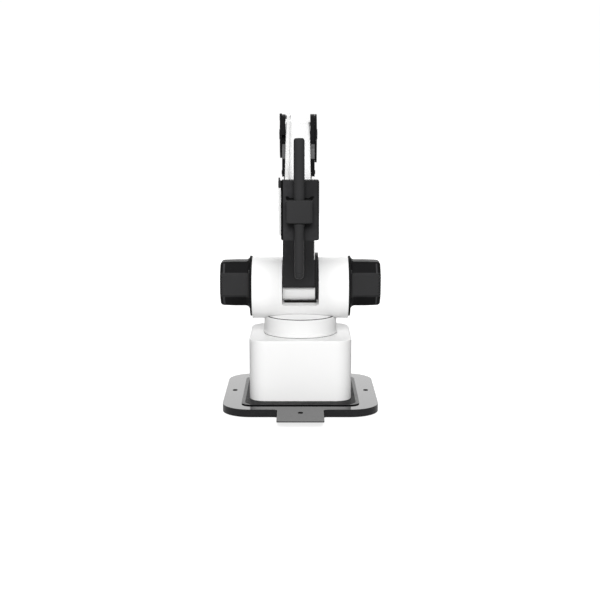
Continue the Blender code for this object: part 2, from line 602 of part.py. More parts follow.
# -------------------------------------------------------------------- crank
def sector(r, a0, a1, centre, n=20):
    return [centre] + [(centre[0] + r * math.cos(math.radians(a0 + (a1 - a0) * i / n)),
                        centre[1] + r * math.sin(math.radians(a0 + (a1 - a0) * i / n))) for i in range(n + 1)]


crank = place(plate_mesh([hull(sector(30.6, 22, 112, SHOULDER, 24) + ring(4.6, 16, CRANK_PIN) + ring(16.5, 32, SHOULDER)),
                          ring(3.1, 16, SHOULDER), ring(2.3, 14, CRANK_PIN)], CRANK_X[0], CRANK_X[1], "X"),
              "crank_plate", "black_plastic", "crank")
place(cyl_mesh(2.8, 14.5, 56.0, SHOULDER, "X", 18), "crank_shaft", "steel", "crank")
place(cyl_mesh(2.0, 10.1, 17.6, CRANK_PIN, "X", 14), "crank_pin", "steel", "crank")
place(plate_mesh([ring(3.4, 20, CRANK_PIN), ring(2.3, 14, CRANK_PIN)], ROD_D_X[0], ROD_D_X[1], "X"),
      "crank_bush", "brass", "crank_bush")

# ------------------------------------------------------------------ forearm
fa = place(plate_mesh([belt_outline([(ELBOW, 13.0), (fore(30, 0), 12.4), (WRIST, 10.2)], 36)], FORE_X0, FORE_X1, "X"),
           "forearm_shell", "white_plastic", "forearm")
bevel(fa, 1.4, 1, 60)
boolean(fa, plate_mesh([belt_outline([(ELBOW, 9.0), (FORE_PIN, 4.9)], 24)], 4.6, FORE_X1 - 0.05, "X"), "UNION", "lever")
boolean(fa, cyl_mesh(5.3, -30, 30, ELBOW, "X", 22), name="elbow_bore")
boolean(fa, cyl_mesh(4.3, -30, 30, WRIST, "X", 20), name="wrist_bore")
boolean(fa, cyl_mesh(2.25, 0, 30, FORE_PIN, "X", 14), name="pin_bore")
for side, lo, hi in (("left", -14.3, -9.8), ("right", 4.9, 9.4)):
    place(plate_mesh([ring(5.0, 22, ELBOW), ring(3.3, 18, ELBOW)], lo, hi, "X"), "elbow_bearing_" + side, "steel",
          "forearm")
place(cyl_mesh(2.0, 4.8, 14.1, FORE_PIN, "X", 14), "forearm_drive_pin", "steel", "forearm")
for side, lo, hi in (("left", -14.3, -10.8), ("right", 5.9, 9.4)):
    place(plate_mesh([ring(4.0, 20, WRIST), ring(2.8, 16, WRIST)], lo, hi, "X"), "wrist_bearing_" + side, "steel",
          "forearm")

# --------------------------------------------------------------------- head
BRACKET_X0, BRACKET_X1 = -19.4, 13.4
CHEEK_L = (-17.8, -14.8)
CHEEK_R = (9.9, 12.9)
cheek_outline = belt_outline([(WRIST, 9.0), (HEAD_PIVOT, 5.0), ((-104.0, 222.0), 1.5), ((-104.0, 186.0), 1.5)], 24)
br = place(plate_mesh([round_rect(BRACKET_X0, BRACKET_X1, 175.0, 224.0, 1.5, 3)], BRACKET_Y0, BRACKET_Y1, "Y"),
           "wrist_bracket", "white_plastic", "head")
boolean(br, plate_mesh([cheek_outline], CHEEK_L[0], CHEEK_L[1], "X"), "UNION", "cheek_left")
boolean(br, plate_mesh([cheek_outline], CHEEK_R[0], CHEEK_R[1], "X"), "UNION", "cheek_right")
boolean(br, cyl_mesh(2.5, -30, 30, WRIST, "X", 16), name="wrist_hole")
boolean(br, cyl_mesh(2.3, -30, 5, HEAD_PIVOT, "X", 14), name="link_hole")
wa = place(cyl_mesh(2.2, -18.6, 13.6, WRIST, "X", 16), "wrist_axle", "steel", "head")
boolean(wa, cyl_mesh(3.8, -19.2, -18.1, WRIST, "X", 16), "UNION", "head")
boolean(wa, cyl_mesh(3.8, 13.2, 14.3, WRIST, "X", 16), "UNION", "nut")
hp = place(cyl_mesh(2.0, -18.4, -10.0, HEAD_PIVOT, "X", 14), "head_link_pin", "dark_steel", "head")
boolean(hp, cyl_mesh(4.2, -19.6, -18.1, HEAD_PIVOT, "X", 18), "UNION", "head")

block = place(box_mesh((BLOCK_X0, BLOCK_Y0, BLOCK_Z0), (BLOCK_X1, BLOCK_Y1, BLOCK_Z1)), "tool_block",
              "black_plastic", "head")
bevel(block, 1.5, 2)
clip = place(box_mesh((CLIP_X0, CLIP_Y0, CLIP_Z0), (CLIP_X1, CLIP_Y1, CLIP_Z1)), "pen_clip", "black_plastic", "head")
bevel(clip, 1.4, 2)
boolean(clip, cyl_mesh(PEN_R + 0.35, CLIP_Z0 - 5, CLIP_Z1 + 5, (PEN_X, PEN_Y), "Z", 32), name="bore")

pen = turned("pen_barrel", [(0, PEN_Z1), (PEN_R - 1.8, PEN_Z1), (PEN_R - 0.5, PEN_Z1 - 0.6), (PEN_R, PEN_Z1 - 2.0),
                            (PEN_R, PEN_STEP_Z), (PEN_LOW_R, PEN_STEP_Z - 1.4), (PEN_LOW_R, PEN_Z0 + 6.0),
                            (PEN_LOW_R - 0.4, PEN_Z0 + 4.6), (0, PEN_Z0 + 4.6)],
             "black_plastic", "pen", loc=(PEN_X, PEN_Y, 0), steps=20)
turned("pen_tip", [(0, PEN_Z0 + 4.3), (PEN_R - 0.5, PEN_Z0 + 4.3), (PEN_R - 0.5, PEN_Z0 + 1.8),
                   (PEN_R - 1.4, PEN_Z0 + 0.4), (PEN_R - 2.4, PEN_Z0), (0, PEN_Z0)],
       "black_plastic", "pen", loc=(PEN_X, PEN_Y, 0), steps=16)
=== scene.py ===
"""Looks of the desktop robot arm: fine meshes, materials, light and camera,
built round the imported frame. Lengths are in mm in this file and become metres
in the helpers."""
import math

import bpy
import bmesh
from mathutils import Matrix, Vector


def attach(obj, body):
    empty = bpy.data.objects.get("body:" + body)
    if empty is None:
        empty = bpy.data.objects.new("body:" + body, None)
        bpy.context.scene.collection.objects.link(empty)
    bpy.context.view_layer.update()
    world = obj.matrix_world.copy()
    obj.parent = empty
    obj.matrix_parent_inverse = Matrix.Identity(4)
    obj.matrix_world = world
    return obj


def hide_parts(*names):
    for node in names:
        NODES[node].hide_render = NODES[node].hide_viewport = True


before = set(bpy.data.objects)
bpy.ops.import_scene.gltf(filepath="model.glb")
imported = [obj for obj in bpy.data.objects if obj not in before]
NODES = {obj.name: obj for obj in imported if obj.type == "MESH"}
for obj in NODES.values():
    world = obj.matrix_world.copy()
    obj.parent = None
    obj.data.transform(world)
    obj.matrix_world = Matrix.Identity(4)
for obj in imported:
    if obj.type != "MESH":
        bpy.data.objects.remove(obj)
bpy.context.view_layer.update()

MM = 0.001

# ------------------------------------------------------------ shared geometry
SHOULDER, ELBOW, WRIST = (0.0, 117.0), (42.0, 263.0), (-91.0, 205.0)
LEVEL_ARM, LINK_ARM, CRANK_R = (26.9, -2.35), (-5.0, 17.0), 25.5


def add(p, q):
    return (p[0] + q[0], p[1] + q[1])


ARM_LEN = math.dist(SHOULDER, ELBOW)
FORE_LEN = math.dist(ELBOW, WRIST)
A_DIR = ((ELBOW[0] - SHOULDER[0]) / ARM_LEN, (ELBOW[1] - SHOULDER[1]) / ARM_LEN)
N_DIR = (-A_DIR[1], A_DIR[0])
F_DIR = ((WRIST[0] - ELBOW[0]) / FORE_LEN, (WRIST[1] - ELBOW[1]) / FORE_LEN)
U_DIR = (F_DIR[1], -F_DIR[0])
G_VEC = (-F_DIR[0] * CRANK_R, -F_DIR[1] * CRANK_R)
ANCHOR = add(SHOULDER, LEVEL_ARM)
LEVEL_REAR = add(ELBOW, LEVEL_ARM)
LEVEL_FRONT = add(ELBOW, LINK_ARM)
HEAD_PIVOT = add(WRIST, LINK_ARM)
CRANK_PIN = add(SHOULDER, G_VEC)
FORE_PIN = add(ELBOW, G_VEC)


def arm(a, n):
    return (SHOULDER[0] + a * A_DIR[0] + n * N_DIR[0], SHOULDER[1] + a * A_DIR[1] + n * N_DIR[1])


def fore(f, u):
    return (ELBOW[0] + f * F_DIR[0] + u * U_DIR[0], ELBOW[1] + f * F_DIR[1] + u * U_DIR[1])


# ------------------------------------------------------------------ materials
def nodes_of(name):
    m = bpy.data.materials.new(name)
    m.use_nodes = True
    nt = m.node_tree
    return m, nt, nt.nodes["Principled BSDF"]


def plastic(name, colour, rough, grain=0.35, grain_depth=0.012, tone=0.03, rough_swing=0.08, spec=0.5,
            coat=0.0, coat_rough=0.1, wear=None, metal=0.0, smudge=0.0, stretch=(1, 1, 1)):
    """Moulded or metal surface: fine grain as bump, slow changes of tone and
    gloss, and a slightly polished or paler tone on the edges."""
    m, nt, b = nodes_of(name)
    L = nt.links.new
    N = nt.nodes.new
    tc = N("ShaderNodeTexCoord")
    mp = N("ShaderNodeMapping")
    mp.inputs["Scale"].default_value = stretch
    L(tc.outputs["Object"], mp.inputs["Vector"])
    # grain
    fine = N("ShaderNodeTexNoise")
    fine.inputs["Scale"].default_value = 1000.0 / grain
    fine.inputs["Detail"].default_value = 2.0
    L(mp.outputs["Vector"], fine.inputs["Vector"])
    mid = N("ShaderNodeTexNoise")
    mid.inputs["Scale"].default_value = 160.0
    mid.inputs["Detail"].default_value = 4.0
    L(mp.outputs["Vector"], mid.inputs["Vector"])
    slow = N("ShaderNodeTexNoise")
    slow.inputs["Scale"].default_value = 22.0
    slow.inputs["Detail"].default_value = 3.0
    L(tc.outputs["Object"], slow.inputs["Vector"])
    bump = N("ShaderNodeBump")
    bump.inputs["Strength"].default_value = 0.55
    bump.inputs["Distance"].default_value = grain_depth * MM
    L(fine.outputs["Fac"], bump.inputs["Height"])
    bump2 = N("ShaderNodeBump")
    bump2.inputs["Strength"].default_value = 0.25
    bump2.inputs["Distance"].default_value = grain_depth * 2.5 * MM
    L(mid.outputs["Fac"], bump2.inputs["Height"])
    L(bump.outputs["Normal"], bump2.inputs["Normal"])
    L(bump2.outputs["Normal"], b.inputs["Normal"])
    # tone
    ramp = N("ShaderNodeValToRGB")
    e = ramp.color_ramp.elements
    e[0].position, e[1].position = 0.3, 0.7
    lo = [max(0.0, c * (1 - tone)) for c in colour]
    hi = [min(1.0, c * (1 + tone)) for c in colour]
    e[0].color, e[1].color = (*lo, 1), (*hi, 1)
    L(slow.outputs["Fac"], ramp.inputs["Fac"])
    out = ramp.outputs["Color"]
    if wear:
        geo = N("ShaderNodeNewGeometry")
        edge = N("ShaderNodeValToRGB")
        edge.color_ramp.elements[0].position = 0.53
        edge.color_ramp.elements[1].position = 0.62
        L(geo.outputs["Pointiness"], edge.inputs["Fac"])
        brk = N("ShaderNodeMath")
        brk.operation = "MULTIPLY"
        L(edge.outputs["Color"], brk.inputs[0])
        L(mid.outputs["Fac"], brk.inputs[1])
        mix = N("ShaderNodeMix")
        mix.data_type = "RGBA"
        L(brk.outputs[0], mix.inputs["Factor"])
        L(out, mix.inputs["A"])
        mix.inputs["B"].default_value = (*wear, 1)
        out = mix.outputs["Result"]
    L(out, b.inputs["Base Color"])
    # gloss
    rr = N("ShaderNodeMapRange")
    rr.inputs["To Min"].default_value = max(0.02, rough - rough_swing)
    rr.inputs["To Max"].default_value = min(1.0, rough + rough_swing)
    mixn = N("ShaderNodeMath")
    mixn.operation = "MULTIPLY_ADD"
    L(mid.outputs["Fac"], mixn.inputs[0])
    mixn.inputs[1].default_value = 0.5
    half = N("ShaderNodeMath")
    half.operation = "MULTIPLY"
    L(slow.outputs["Fac"], half.inputs[0])
    half.inputs[1].default_value = 0.5
    L(half.outputs[0], mixn.inputs[2])
    rr.inputs["From Min"].default_value = 0.3
    rr.inputs["From Max"].default_value = 0.7
    L(mixn.outputs[0], rr.inputs["Value"])
    L(rr.outputs["Result"], b.inputs["Roughness"])
    b.inputs["Metallic"].default_value = metal
    b.inputs["Specular IOR Level"].default_value = spec
    b.inputs["Coat Weight"].default_value = coat
    b.inputs["Coat Roughness"].default_value = coat_rough
    return m


WHITE = plastic("white_moulded", (0.90, 0.90, 0.897), 0.40, grain=0.5, grain_depth=0.006, tone=0.008,
                rough_swing=0.05, spec=0.45)
WHITE_LINK = plastic("white_link", (0.84, 0.84, 0.835), 0.44, grain=0.5, grain_depth=0.008, tone=0.012, rough_swing=0.06)
BLACK = plastic("black_moulded", (0.030, 0.030, 0.0308), 0.36, spec=0.06, grain=0.45, grain_depth=0.012, tone=0.06,
                rough_swing=0.07, wear=(0.035, 0.035, 0.037))
# deep black: the own colour of the flanges, forks and level plate, and painted shade on the motor covers' slanted faces
# and round the housing foot
DEEP_BLACK_AND_SHADE = plastic("deep_black_and_painted_shade", (0.0105, 0.0105, 0.0110), 0.42, spec=0.04, grain=0.5, grain_depth=0.012, tone=0.06,
                     rough_swing=0.08)
# greyer copies of the white: painted shade for the housing, whose top lies in the drum's shadow, and more painted shade
# for the neck, whose sides lie under the drum
WHITE_PAINTED_SHADE_BASE = plastic("white_painted_shade_base", (0.825, 0.825, 0.822), 0.40, grain=0.5, grain_depth=0.006, tone=0.008,
                     rough_swing=0.06)
WHITE_PAINTED_SHADE_NECK = plastic("white_painted_shade_neck", (0.77, 0.77, 0.768), 0.42, grain=0.5, grain_depth=0.006, tone=0.008,
                     rough_swing=0.06)
BLACK_TOOL = plastic("black_tool", (0.0165, 0.0165, 0.0171), 0.46, spec=0.09, grain=0.6, grain_depth=0.014, tone=0.07,
                     rough_swing=0.06, wear=(0.045, 0.045, 0.047))
BLACK_PEN = plastic("black_pen", (0.0295, 0.0295, 0.0303), 0.38, spec=0.12, grain=0.4, grain_depth=0.006, tone=0.04,
                    rough_swing=0.05)
GLOSS = plastic("polished_black", (0.006, 0.006, 0.007), 0.06, grain=0.8, grain_depth=0.0006, tone=0.05,
                rough_swing=0.02, spec=0.5)
SKIRT = plastic("skirt_black", (0.008, 0.008, 0.009), 0.33, grain=0.8, grain_depth=0.002, tone=0.05,
                rough_swing=0.04, spec=0.34)
RUBBER = plastic("rubber_pad", (0.022, 0.022, 0.022), 0.82, grain=0.5, grain_depth=0.03, tone=0.1, rough_swing=0.08)
BELT = plastic("belt_rubber", (0.02, 0.02, 0.021), 0.7, grain=0.3, grain_depth=0.03, tone=0.1)
STEEL = plastic("turned_steel", (0.56, 0.56, 0.57), 0.28, grain=0.25, grain_depth=0.004, tone=0.05,
                rough_swing=0.08, metal=1.0, stretch=(0.15, 1, 1))
DARK_STEEL = plastic("blackened_steel", (0.09, 0.09, 0.095), 0.36, grain=0.3, grain_depth=0.006, tone=0.08,
                     rough_swing=0.08, metal=1.0, wear=(0.3, 0.3, 0.3))
MOTOR = plastic("motor_paint", (0.03, 0.03, 0.032), 0.5, grain=0.4, grain_depth=0.02, tone=0.1, rough_swing=0.1)
ALU = plastic("machined_aluminium", (0.72, 0.73, 0.74), 0.34, grain=0.3, grain_depth=0.006, tone=0.04,
              rough_swing=0.08, metal=1.0, stretch=(1, 0.2, 0.2))
BRASS = plastic("bush_bronze", (0.70, 0.48, 0.20), 0.34, grain=0.3, grain_depth=0.006, tone=0.08,
                rough_swing=0.08, metal=1.0)
BOARD = plastic("board_green", (0.01, 0.13, 0.05), 0.35, grain=0.8, grain_depth=0.01, tone=0.25, rough_swing=0.1)
# near-black: the usb tongue's own colour, and painted shade for the thin sheets set in holes, gaps and slots where
# shadow falls
NEAR_BLACK_AND_SHADE = plastic("near_black_and_painted_shade", (0.004, 0.004, 0.004), 0.8, grain=0.6, grain_depth=0.02, tone=0.2, spec=0.1)
# painted reflection: a grey-black for the strip across the elbow forks where their rounded edges would mirror the white
# floor
BLACK_PAINTED_REFLECTION = plastic("black_painted_reflection", (0.135, 0.135, 0.1365), 0.26, spec=0.20, grain=0.45, grain_depth=0.004, tone=0.06,
                      rough_swing=0.04, wear=(0.035, 0.035, 0.037))
FLOOR = plastic("pale_floor", (0.45, 0.45, 0.45), 0.75, grain=1.2, grain_depth=0.01, tone=0.004, rough_swing=0.05,
                spec=0.2)

# ------------------------------------------------------------------ mesh help
def box_mesh(lo, hi):
    bm = bmesh.new()
    bmesh.ops.create_cube(bm, size=1.0)
    bmesh.ops.scale(bm, vec=[(hi[i] - lo[i]) * MM for i in range(3)], verts=bm.verts)
    bmesh.ops.translate(bm, vec=[(hi[i] + lo[i]) * 0.5 * MM for i in range(3)], verts=bm.verts)
    return done(bm)


def done(bm, name="piece"):
    bmesh.ops.recalc_face_normals(bm, faces=bm.faces)
    me = bpy.data.meshes.new(name)
    bm.to_mesh(me)
    bm.free()
    return me


def cyl_mesh(r, lo, hi, centre, axis, seg=48, r2=None):
    bm = bmesh.new()
    bmesh.ops.create_cone(bm, cap_ends=True, segments=seg, radius1=r * MM,
                          radius2=(r if r2 is None else r2) * MM, depth=(hi - lo) * MM)
    mid = (lo + hi) * 0.5
    if axis == "X":
        m = Matrix.Translation(Vector((mid, centre[0], centre[1])) * MM) @ Matrix.Rotation(math.pi / 2, 4, "Y")
    elif axis == "Y":
        m = Matrix.Translation(Vector((centre[0], mid, centre[1])) * MM) @ Matrix.Rotation(-math.pi / 2, 4, "X")
    else:
        m = Matrix.Translation(Vector((centre[0], centre[1], mid)) * MM)
    bmesh.ops.transform(bm, matrix=m, verts=bm.verts)
    return done(bm)


def plate_mesh(loops, lo, hi, axis):
    cu = bpy.data.curves.new("outline", "CURVE")
    cu.dimensions = "2D"
    cu.fill_mode = "BOTH"
    cu.extrude = (hi - lo) * 0.5 * MM
    for loop in loops:
        sp = cu.splines.new("POLY")
        sp.points.add(len(loop) - 1)
        for p, q in zip(sp.points, loop):
            p.co = (q[0] * MM, q[1] * MM, 0, 1)
        sp.use_cyclic_u = True
    tmp = bpy.data.objects.new("outline", cu)
    bpy.context.scene.collection.objects.link(tmp)
    dg = bpy.context.evaluated_depsgraph_get()
    me = bpy.data.meshes.new_from_object(tmp.evaluated_get(dg))
    bpy.data.objects.remove(tmp, do_unlink=True)
    bpy.data.curves.remove(cu)
    bm = bmesh.new()
    bm.from_mesh(me)
    bpy.data.meshes.remove(me)
    bmesh.ops.remove_doubles(bm, verts=bm.verts, dist=0.000005)
    bmesh.ops.dissolve_limit(bm, angle_limit=math.radians(0.5), verts=bm.verts, edges=bm.edges)
    mid = (lo + hi) * 0.5 * MM
    if axis == "X":
        m = Matrix(((0, 0, 1, mid), (1, 0, 0, 0), (0, 1, 0, 0), (0, 0, 0, 1)))
    elif axis == "Y":
        m = Matrix(((1, 0, 0, 0), (0, 0, -1, mid), (0, 1, 0, 0), (0, 0, 0, 1)))
    else:
        m = Matrix.Translation((0, 0, mid))
    bmesh.ops.transform(bm, matrix=m, verts=bm.verts)
    return done(bm)


def joined(meshes):
    bm = bmesh.new()
    for me in meshes:
        bm.from_mesh(me)
        bpy.data.meshes.remove(me)
    return done(bm)


def ring(radius, seg, centre=(0, 0), start=0.0):
    return [(centre[0] + radius * math.cos(start + 2 * math.pi * i / seg),
             centre[1] + radius * math.sin(start + 2 * math.pi * i / seg)) for i in range(seg)]


def round_rect(x0, x1, y0, y1, r, seg=10):
    pts = []
    for cx, cy, a in ((x1 - r, y1 - r, 0), (x0 + r, y1 - r, 90), (x0 + r, y0 + r, 180), (x1 - r, y0 + r, 270)):
        for i in range(seg + 1):
            t = math.radians(a + 90 * i / seg)
            pts.append((cx + r * math.cos(t), cy + r * math.sin(t)))
    return pts


def hull(points):
    pts = sorted(set((round(x, 5), round(y, 5)) for x, y in points))

    def half(seq):
        out = []
        for p in seq:
            while len(out) > 1 and ((out[-1][0] - out[-2][0]) * (p[1] - out[-2][1])
                                    - (out[-1][1] - out[-2][1]) * (p[0] - out[-2][0])) <= 1e-9:
                out.pop()
            out.append(p)
        return out[:-1]

    return half(pts) + half(pts[::-1])


def belt_outline(circles, seg=64):
    pts = []
    for centre, r in circles:
        pts += ring(r, seg, centre)
    return hull(pts)


def turned_mesh(profile, steps=96, centre=(0, 0), closed=False):
    """Turned body about a vertical axis: profile (radius, z) in mm."""
    bm = bmesh.new()
    rings = []
    for r, z in profile:
        if r < 1e-6:
            rings.append([bm.verts.new((centre[0] * MM, centre[1] * MM, z * MM))])
        else:
            rings.append([bm.verts.new(((centre[0] + r * math.cos(2 * math.pi * i / steps)) * MM,
                                        (centre[1] + r * math.sin(2 * math.pi * i / steps)) * MM, z * MM))
                          for i in range(steps)])
    pairs = list(zip(rings, rings[1:]))
    if closed:
        pairs.append((rings[-1], rings[0]))
    for a, b in pairs:
        if len(a) == 1 and len(b) == 1:
            continue
        for i in range(steps):
            j = (i + 1) % steps
            if len(a) == 1:
                bm.faces.new((a[0], b[i], b[j]))
            elif len(b) == 1:
                bm.faces.new((a[i], a[j], b[0]))
            else:
                bm.faces.new((a[i], a[j], b[j], b[i]))
    return done(bm)


def loft_mesh(sections):
    """Closed body through sections of equal point count (lists of mm points)."""
    bm = bmesh.new()
    rows = [[bm.verts.new(Vector(p) * MM) for p in s] for s in sections]
    n = len(rows[0])
    for a, b in zip(rows, rows[1:]):
        for i in range(n):
            j = (i + 1) % n
            bm.faces.new((a[i], a[j], b[j], b[i]))
    bm.faces.new(rows[0])
    bm.faces.new(rows[-1])
    return done(bm)


HIDDEN = bpy.data.collections.new("cutters")


def cut(me, tools, op="DIFFERENCE"):
    """me with each tool mesh cut from it, or joined to it, applied."""
    a = bpy.data.objects.new("work", me)
    bpy.context.scene.collection.objects.link(a)
    for t in tools:
        b = bpy.data.objects.new("tool", t)
        bpy.context.scene.collection.objects.link(b)
        mod = a.modifiers.new("b", "BOOLEAN")
        mod.object = b
        mod.operation = op
        mod.solver = "EXACT"
        dg = bpy.context.evaluated_depsgraph_get()
        new = bpy.data.meshes.new_from_object(a.evaluated_get(dg))
        a.modifiers.clear()
        old = a.data
        a.data = new
        bpy.data.meshes.remove(old)
        bpy.data.objects.remove(b, do_unlink=True)
        bpy.data.meshes.remove(t)
    out = a.data
    bpy.data.objects.remove(a, do_unlink=True)
    bm = bmesh.new()
    bm.from_mesh(out)
    bpy.data.meshes.remove(out)
    bmesh.ops.remove_doubles(bm, verts=bm.verts, dist=0.000008)
    bmesh.ops.dissolve_degenerate(bm, dist=0.000008, edges=bm.edges)
    return done(bm)


def frame_yz(me, origin, a_dir, n_dir):
    """Moves a mesh drawn with +Y along a_dir and +Z along n_dir into the plane of the arm."""
    m = Matrix(((1, 0, 0, 0), (0, a_dir[0], n_dir[0], origin[0] * MM), (0, a_dir[1], n_dir[1], origin[1] * MM),
                (0, 0, 0, 1)))
    me.transform(m)
    bm = bmesh.new()
    bm.from_mesh(me)
    bpy.data.meshes.remove(me)
    return done(bm)


COUNT = [0]


def piece(name, me, mat, body, replaces=(), bevel=0.0, segs=3, angle=38, sharp=32, subsurf=0):
    ob = bpy.data.objects.new(name, me)
    me.name = name
    bpy.context.scene.collection.objects.link(ob)
    me.materials.clear()
    me.materials.append(mat)
    for p in me.polygons:
        p.material_index = 0
    if bevel:
        b = ob.modifiers.new("bevel", "BEVEL")
        b.width = bevel * MM
        b.segments = segs
        b.limit_method = "ANGLE"
        b.angle_limit = math.radians(angle)
        b.use_clamp_overlap = True
        b.harden_normals = False
        b.miter_outer = "MITER_ARC"
        dg = bpy.context.evaluated_depsgraph_get()
        new = bpy.data.meshes.new_from_object(ob.evaluated_get(dg))
        ob.modifiers.clear()
        ob.data = new
        bpy.data.meshes.remove(me)
        me = new
        me.name = name
    me.shade_smooth()
    me.set_sharp_from_angle(angle=math.radians(sharp))
    w = ob.modifiers.new("weighted", "WEIGHTED_NORMAL")
    w.keep_sharp = True
    w.weight = 80
    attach(ob, body)
    if replaces:
        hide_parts(*([replaces] if isinstance(replaces, str) else replaces))
    COUNT[0] += 1
    return ob


def paint_light_band(ob, mat, z0, z1):
    """Gives a piece a second material between two heights, for painted shade and painted reflection strips."""
    ob.data.materials.append(mat)
    bm = bmesh.new()
    bm.from_mesh(ob.data)
    for z in (z0, z1):
        bmesh.ops.bisect_plane(bm, geom=bm.verts[:] + bm.edges[:] + bm.faces[:], dist=1e-7, plane_co=(0, 0, z * MM),
                               plane_no=(0, 0, 1))
    for f in bm.faces:
        if z0 * MM < f.calc_center_median().z < z1 * MM:
            f.material_index = 1
    bm.to_mesh(ob.data)
    bm.free()


def socket_screw(name, at, axis, body, r=2.6, head=1.4, mat=None, sign=1):
    """Hexagon-socket screw head on a face: at is (x, y, z) of the seat."""
    seg = 40
    prof = [(0, 0), (r - 0.25, 0), (r, 0.25), (r, head - 0.3), (r - 0.3, head), (r * 0.52, head), (r * 0.5, head - 0.1)]
    bm = bmesh.new()
    rows = []
    for q, h in prof:
        if q == 0:
            rows.append([bm.verts.new((0, 0, 0))])
        else:
            rows.append([bm.verts.new((q * math.cos(2 * math.pi * i / seg) * MM, q * math.sin(2 * math.pi * i / seg) * MM,
                                       h * MM)) for i in range(seg)])
    hexr = r * 0.5
    hexpts = []
    for i in range(seg):
        t = 2 * math.pi * i / seg
        k = (t % (math.pi / 3)) - math.pi / 6
        hexpts.append((hexr * 0.866 / math.cos(k) * math.cos(t), hexr * 0.866 / math.cos(k) * math.sin(t)))
    rows.append([bm.verts.new((x * MM, y * MM, (head - 0.15) * MM)) for x, y in hexpts])
    rows.append([bm.verts.new((x * MM, y * MM, (head * 0.35) * MM)) for x, y in hexpts])
    rows.append([bm.verts.new((0, 0, head * 0.3 * MM))])
    for a, b in zip(rows, rows[1:]):
        for i in range(seg):
            j = (i + 1) % seg
            if len(a) == 1:
                bm.faces.new((a[0], b[j], b[i]))
            elif len(b) == 1:
                bm.faces.new((a[i], a[j], b[0]))
            else:
                bm.faces.new((a[i], a[j], b[j], b[i]))
    if axis == "X":
        rot = Matrix.Rotation(math.pi / 2 * sign, 4, "Y")
    elif axis == "Y":
        rot = Matrix.Rotation(-math.pi / 2 * sign, 4, "X")
    else:
        rot = Matrix.Identity(4) if sign > 0 else Matrix.Rotation(math.pi, 4, "X")
    bmesh.ops.transform(bm, matrix=Matrix.Translation(Vector(at) * MM) @ rot, verts=bm.verts)
    return piece(name, done(bm), mat or STEEL, body, sharp=30)


# --------------------------------------------------------- camera and floor
FOCAL_PX, PITCH, DIST, HEIGHT, CAM_X = 1096.9, 9.185, 1078.5, 274.4, -0.378
cam_data = bpy.data.cameras.new("camera")
cam_data.sensor_width = 36.0
cam_data.lens = FOCAL_PX * 36.0 / 600.0
cam_data.clip_start = 0.05
cam_data.clip_end = 50
cam = bpy.data.objects.new("camera", cam_data)
cam.location = Vector((CAM_X, -DIST, HEIGHT)) * MM
cam.rotation_euler = (math.radians(90 - PITCH), 0, 0)
bpy.context.scene.collection.objects.link(cam)
bpy.context.scene.camera = cam

floor = bpy.data.objects.new("floor", None)
me = bpy.data.meshes.new("floor")
bm = bmesh.new()
bmesh.ops.create_grid(bm, x_segments=1, y_segments=1, size=6.0)
bm.to_mesh(me)
bm.free()
bpy.data.objects.remove(floor)
floor = bpy.data.objects.new("floor", me)
me.materials.append(FLOOR)
# the floor turns into the backdrop further out
f_nt = FLOOR.node_tree
f_tc = f_nt.nodes.new("ShaderNodeTexCoord")
f_len = f_nt.nodes.new("ShaderNodeVectorMath")
f_len.operation = "LENGTH"
f_nt.links.new(f_tc.outputs["Object"], f_len.inputs[0])
f_map = f_nt.nodes.new("ShaderNodeMapRange")
f_map.interpolation_type = "SMOOTHSTEP"
f_map.inputs["From Min"].default_value = 0.25
f_map.inputs["From Max"].default_value = 1.9
f_map.inputs["To Min"].default_value = 0.80
f_map.inputs["To Max"].default_value = 0.98
f_nt.links.new(f_len.outputs["Value"], f_map.inputs["Value"])
f_bsdf = f_nt.nodes["Principled BSDF"]
f_bsdf.inputs["Emission Color"].default_value = (1, 1, 1, 1)
f_path = f_nt.nodes.new("ShaderNodeLightPath")
f_dim = f_nt.nodes.new("ShaderNodeMapRange")
f_dim.inputs["To Min"].default_value = 0.06         # what the floor itself throws back
f_dim.inputs["To Max"].default_value = 1.0
f_nt.links.new(f_path.outputs["Is Camera Ray"], f_dim.inputs["Value"])
f_mul = f_nt.nodes.new("ShaderNodeMath")
f_mul.operation = "MULTIPLY"
f_nt.links.new(f_map.outputs["Result"], f_mul.inputs[0])
f_nt.links.new(f_dim.outputs["Result"], f_mul.inputs[1])
f_nt.links.new(f_mul.outputs[0], f_bsdf.inputs["Emission Strength"])
bpy.context.scene.collection.objects.link(floor)

# ------------------------------------------------------------------- light
world = bpy.data.worlds.new("studio")
bpy.context.scene.world = world
world.use_nodes = True
bg = world.node_tree.nodes["Background"]
bg.inputs["Color"].default_value = (1, 1, 1, 1)
w_path = world.node_tree.nodes.new("ShaderNodeLightPath")
w_mix = world.node_tree.nodes.new("ShaderNodeMapRange")
w_mix.inputs["To Min"].default_value = 0.08        # fill light
w_mix.inputs["To Max"].default_value = 1.02        # backdrop
world.node_tree.links.new(w_path.outputs["Is Camera Ray"], w_mix.inputs["Value"])
world.node_tree.links.new(w_mix.outputs["Result"], bg.inputs["Strength"])


def softbox(name, at, aim, size, power, size_y=None):
    ld = bpy.data.lights.new(name, "AREA")
    ld.shape = "RECTANGLE"
    ld.size = size
    ld.size_y = size_y or size
    ld.energy = power
    lo = bpy.data.objects.new(name, ld)
    lo.location = at
    lo.rotation_euler = (Vector(aim) - Vector(at)).to_track_quat("-Z", "Y").to_euler()
    lo.visible_camera = False
    bpy.context.scene.collection.objects.link(lo)
    return lo


softbox("softbox_rear", (0, 1.9, 1.05), (0, 0, 0.15), 4.2, 34, 1.5)
softbox("softbox_front", (0, -2.15, 1.25), (0, 0, 0.15), 1.3, 66, 0.9)
bpy.data.objects["softbox_front"].visible_glossy = False
softbox("softbox_top", (0, -0.3, 2.4), (0, 0, 0.0), 3.2, 16)

vs = bpy.context.scene.view_settings
vs.view_transform = "Standard"
vs.look = "None"
vs.exposure = 0.0
vs.gamma = 1.0

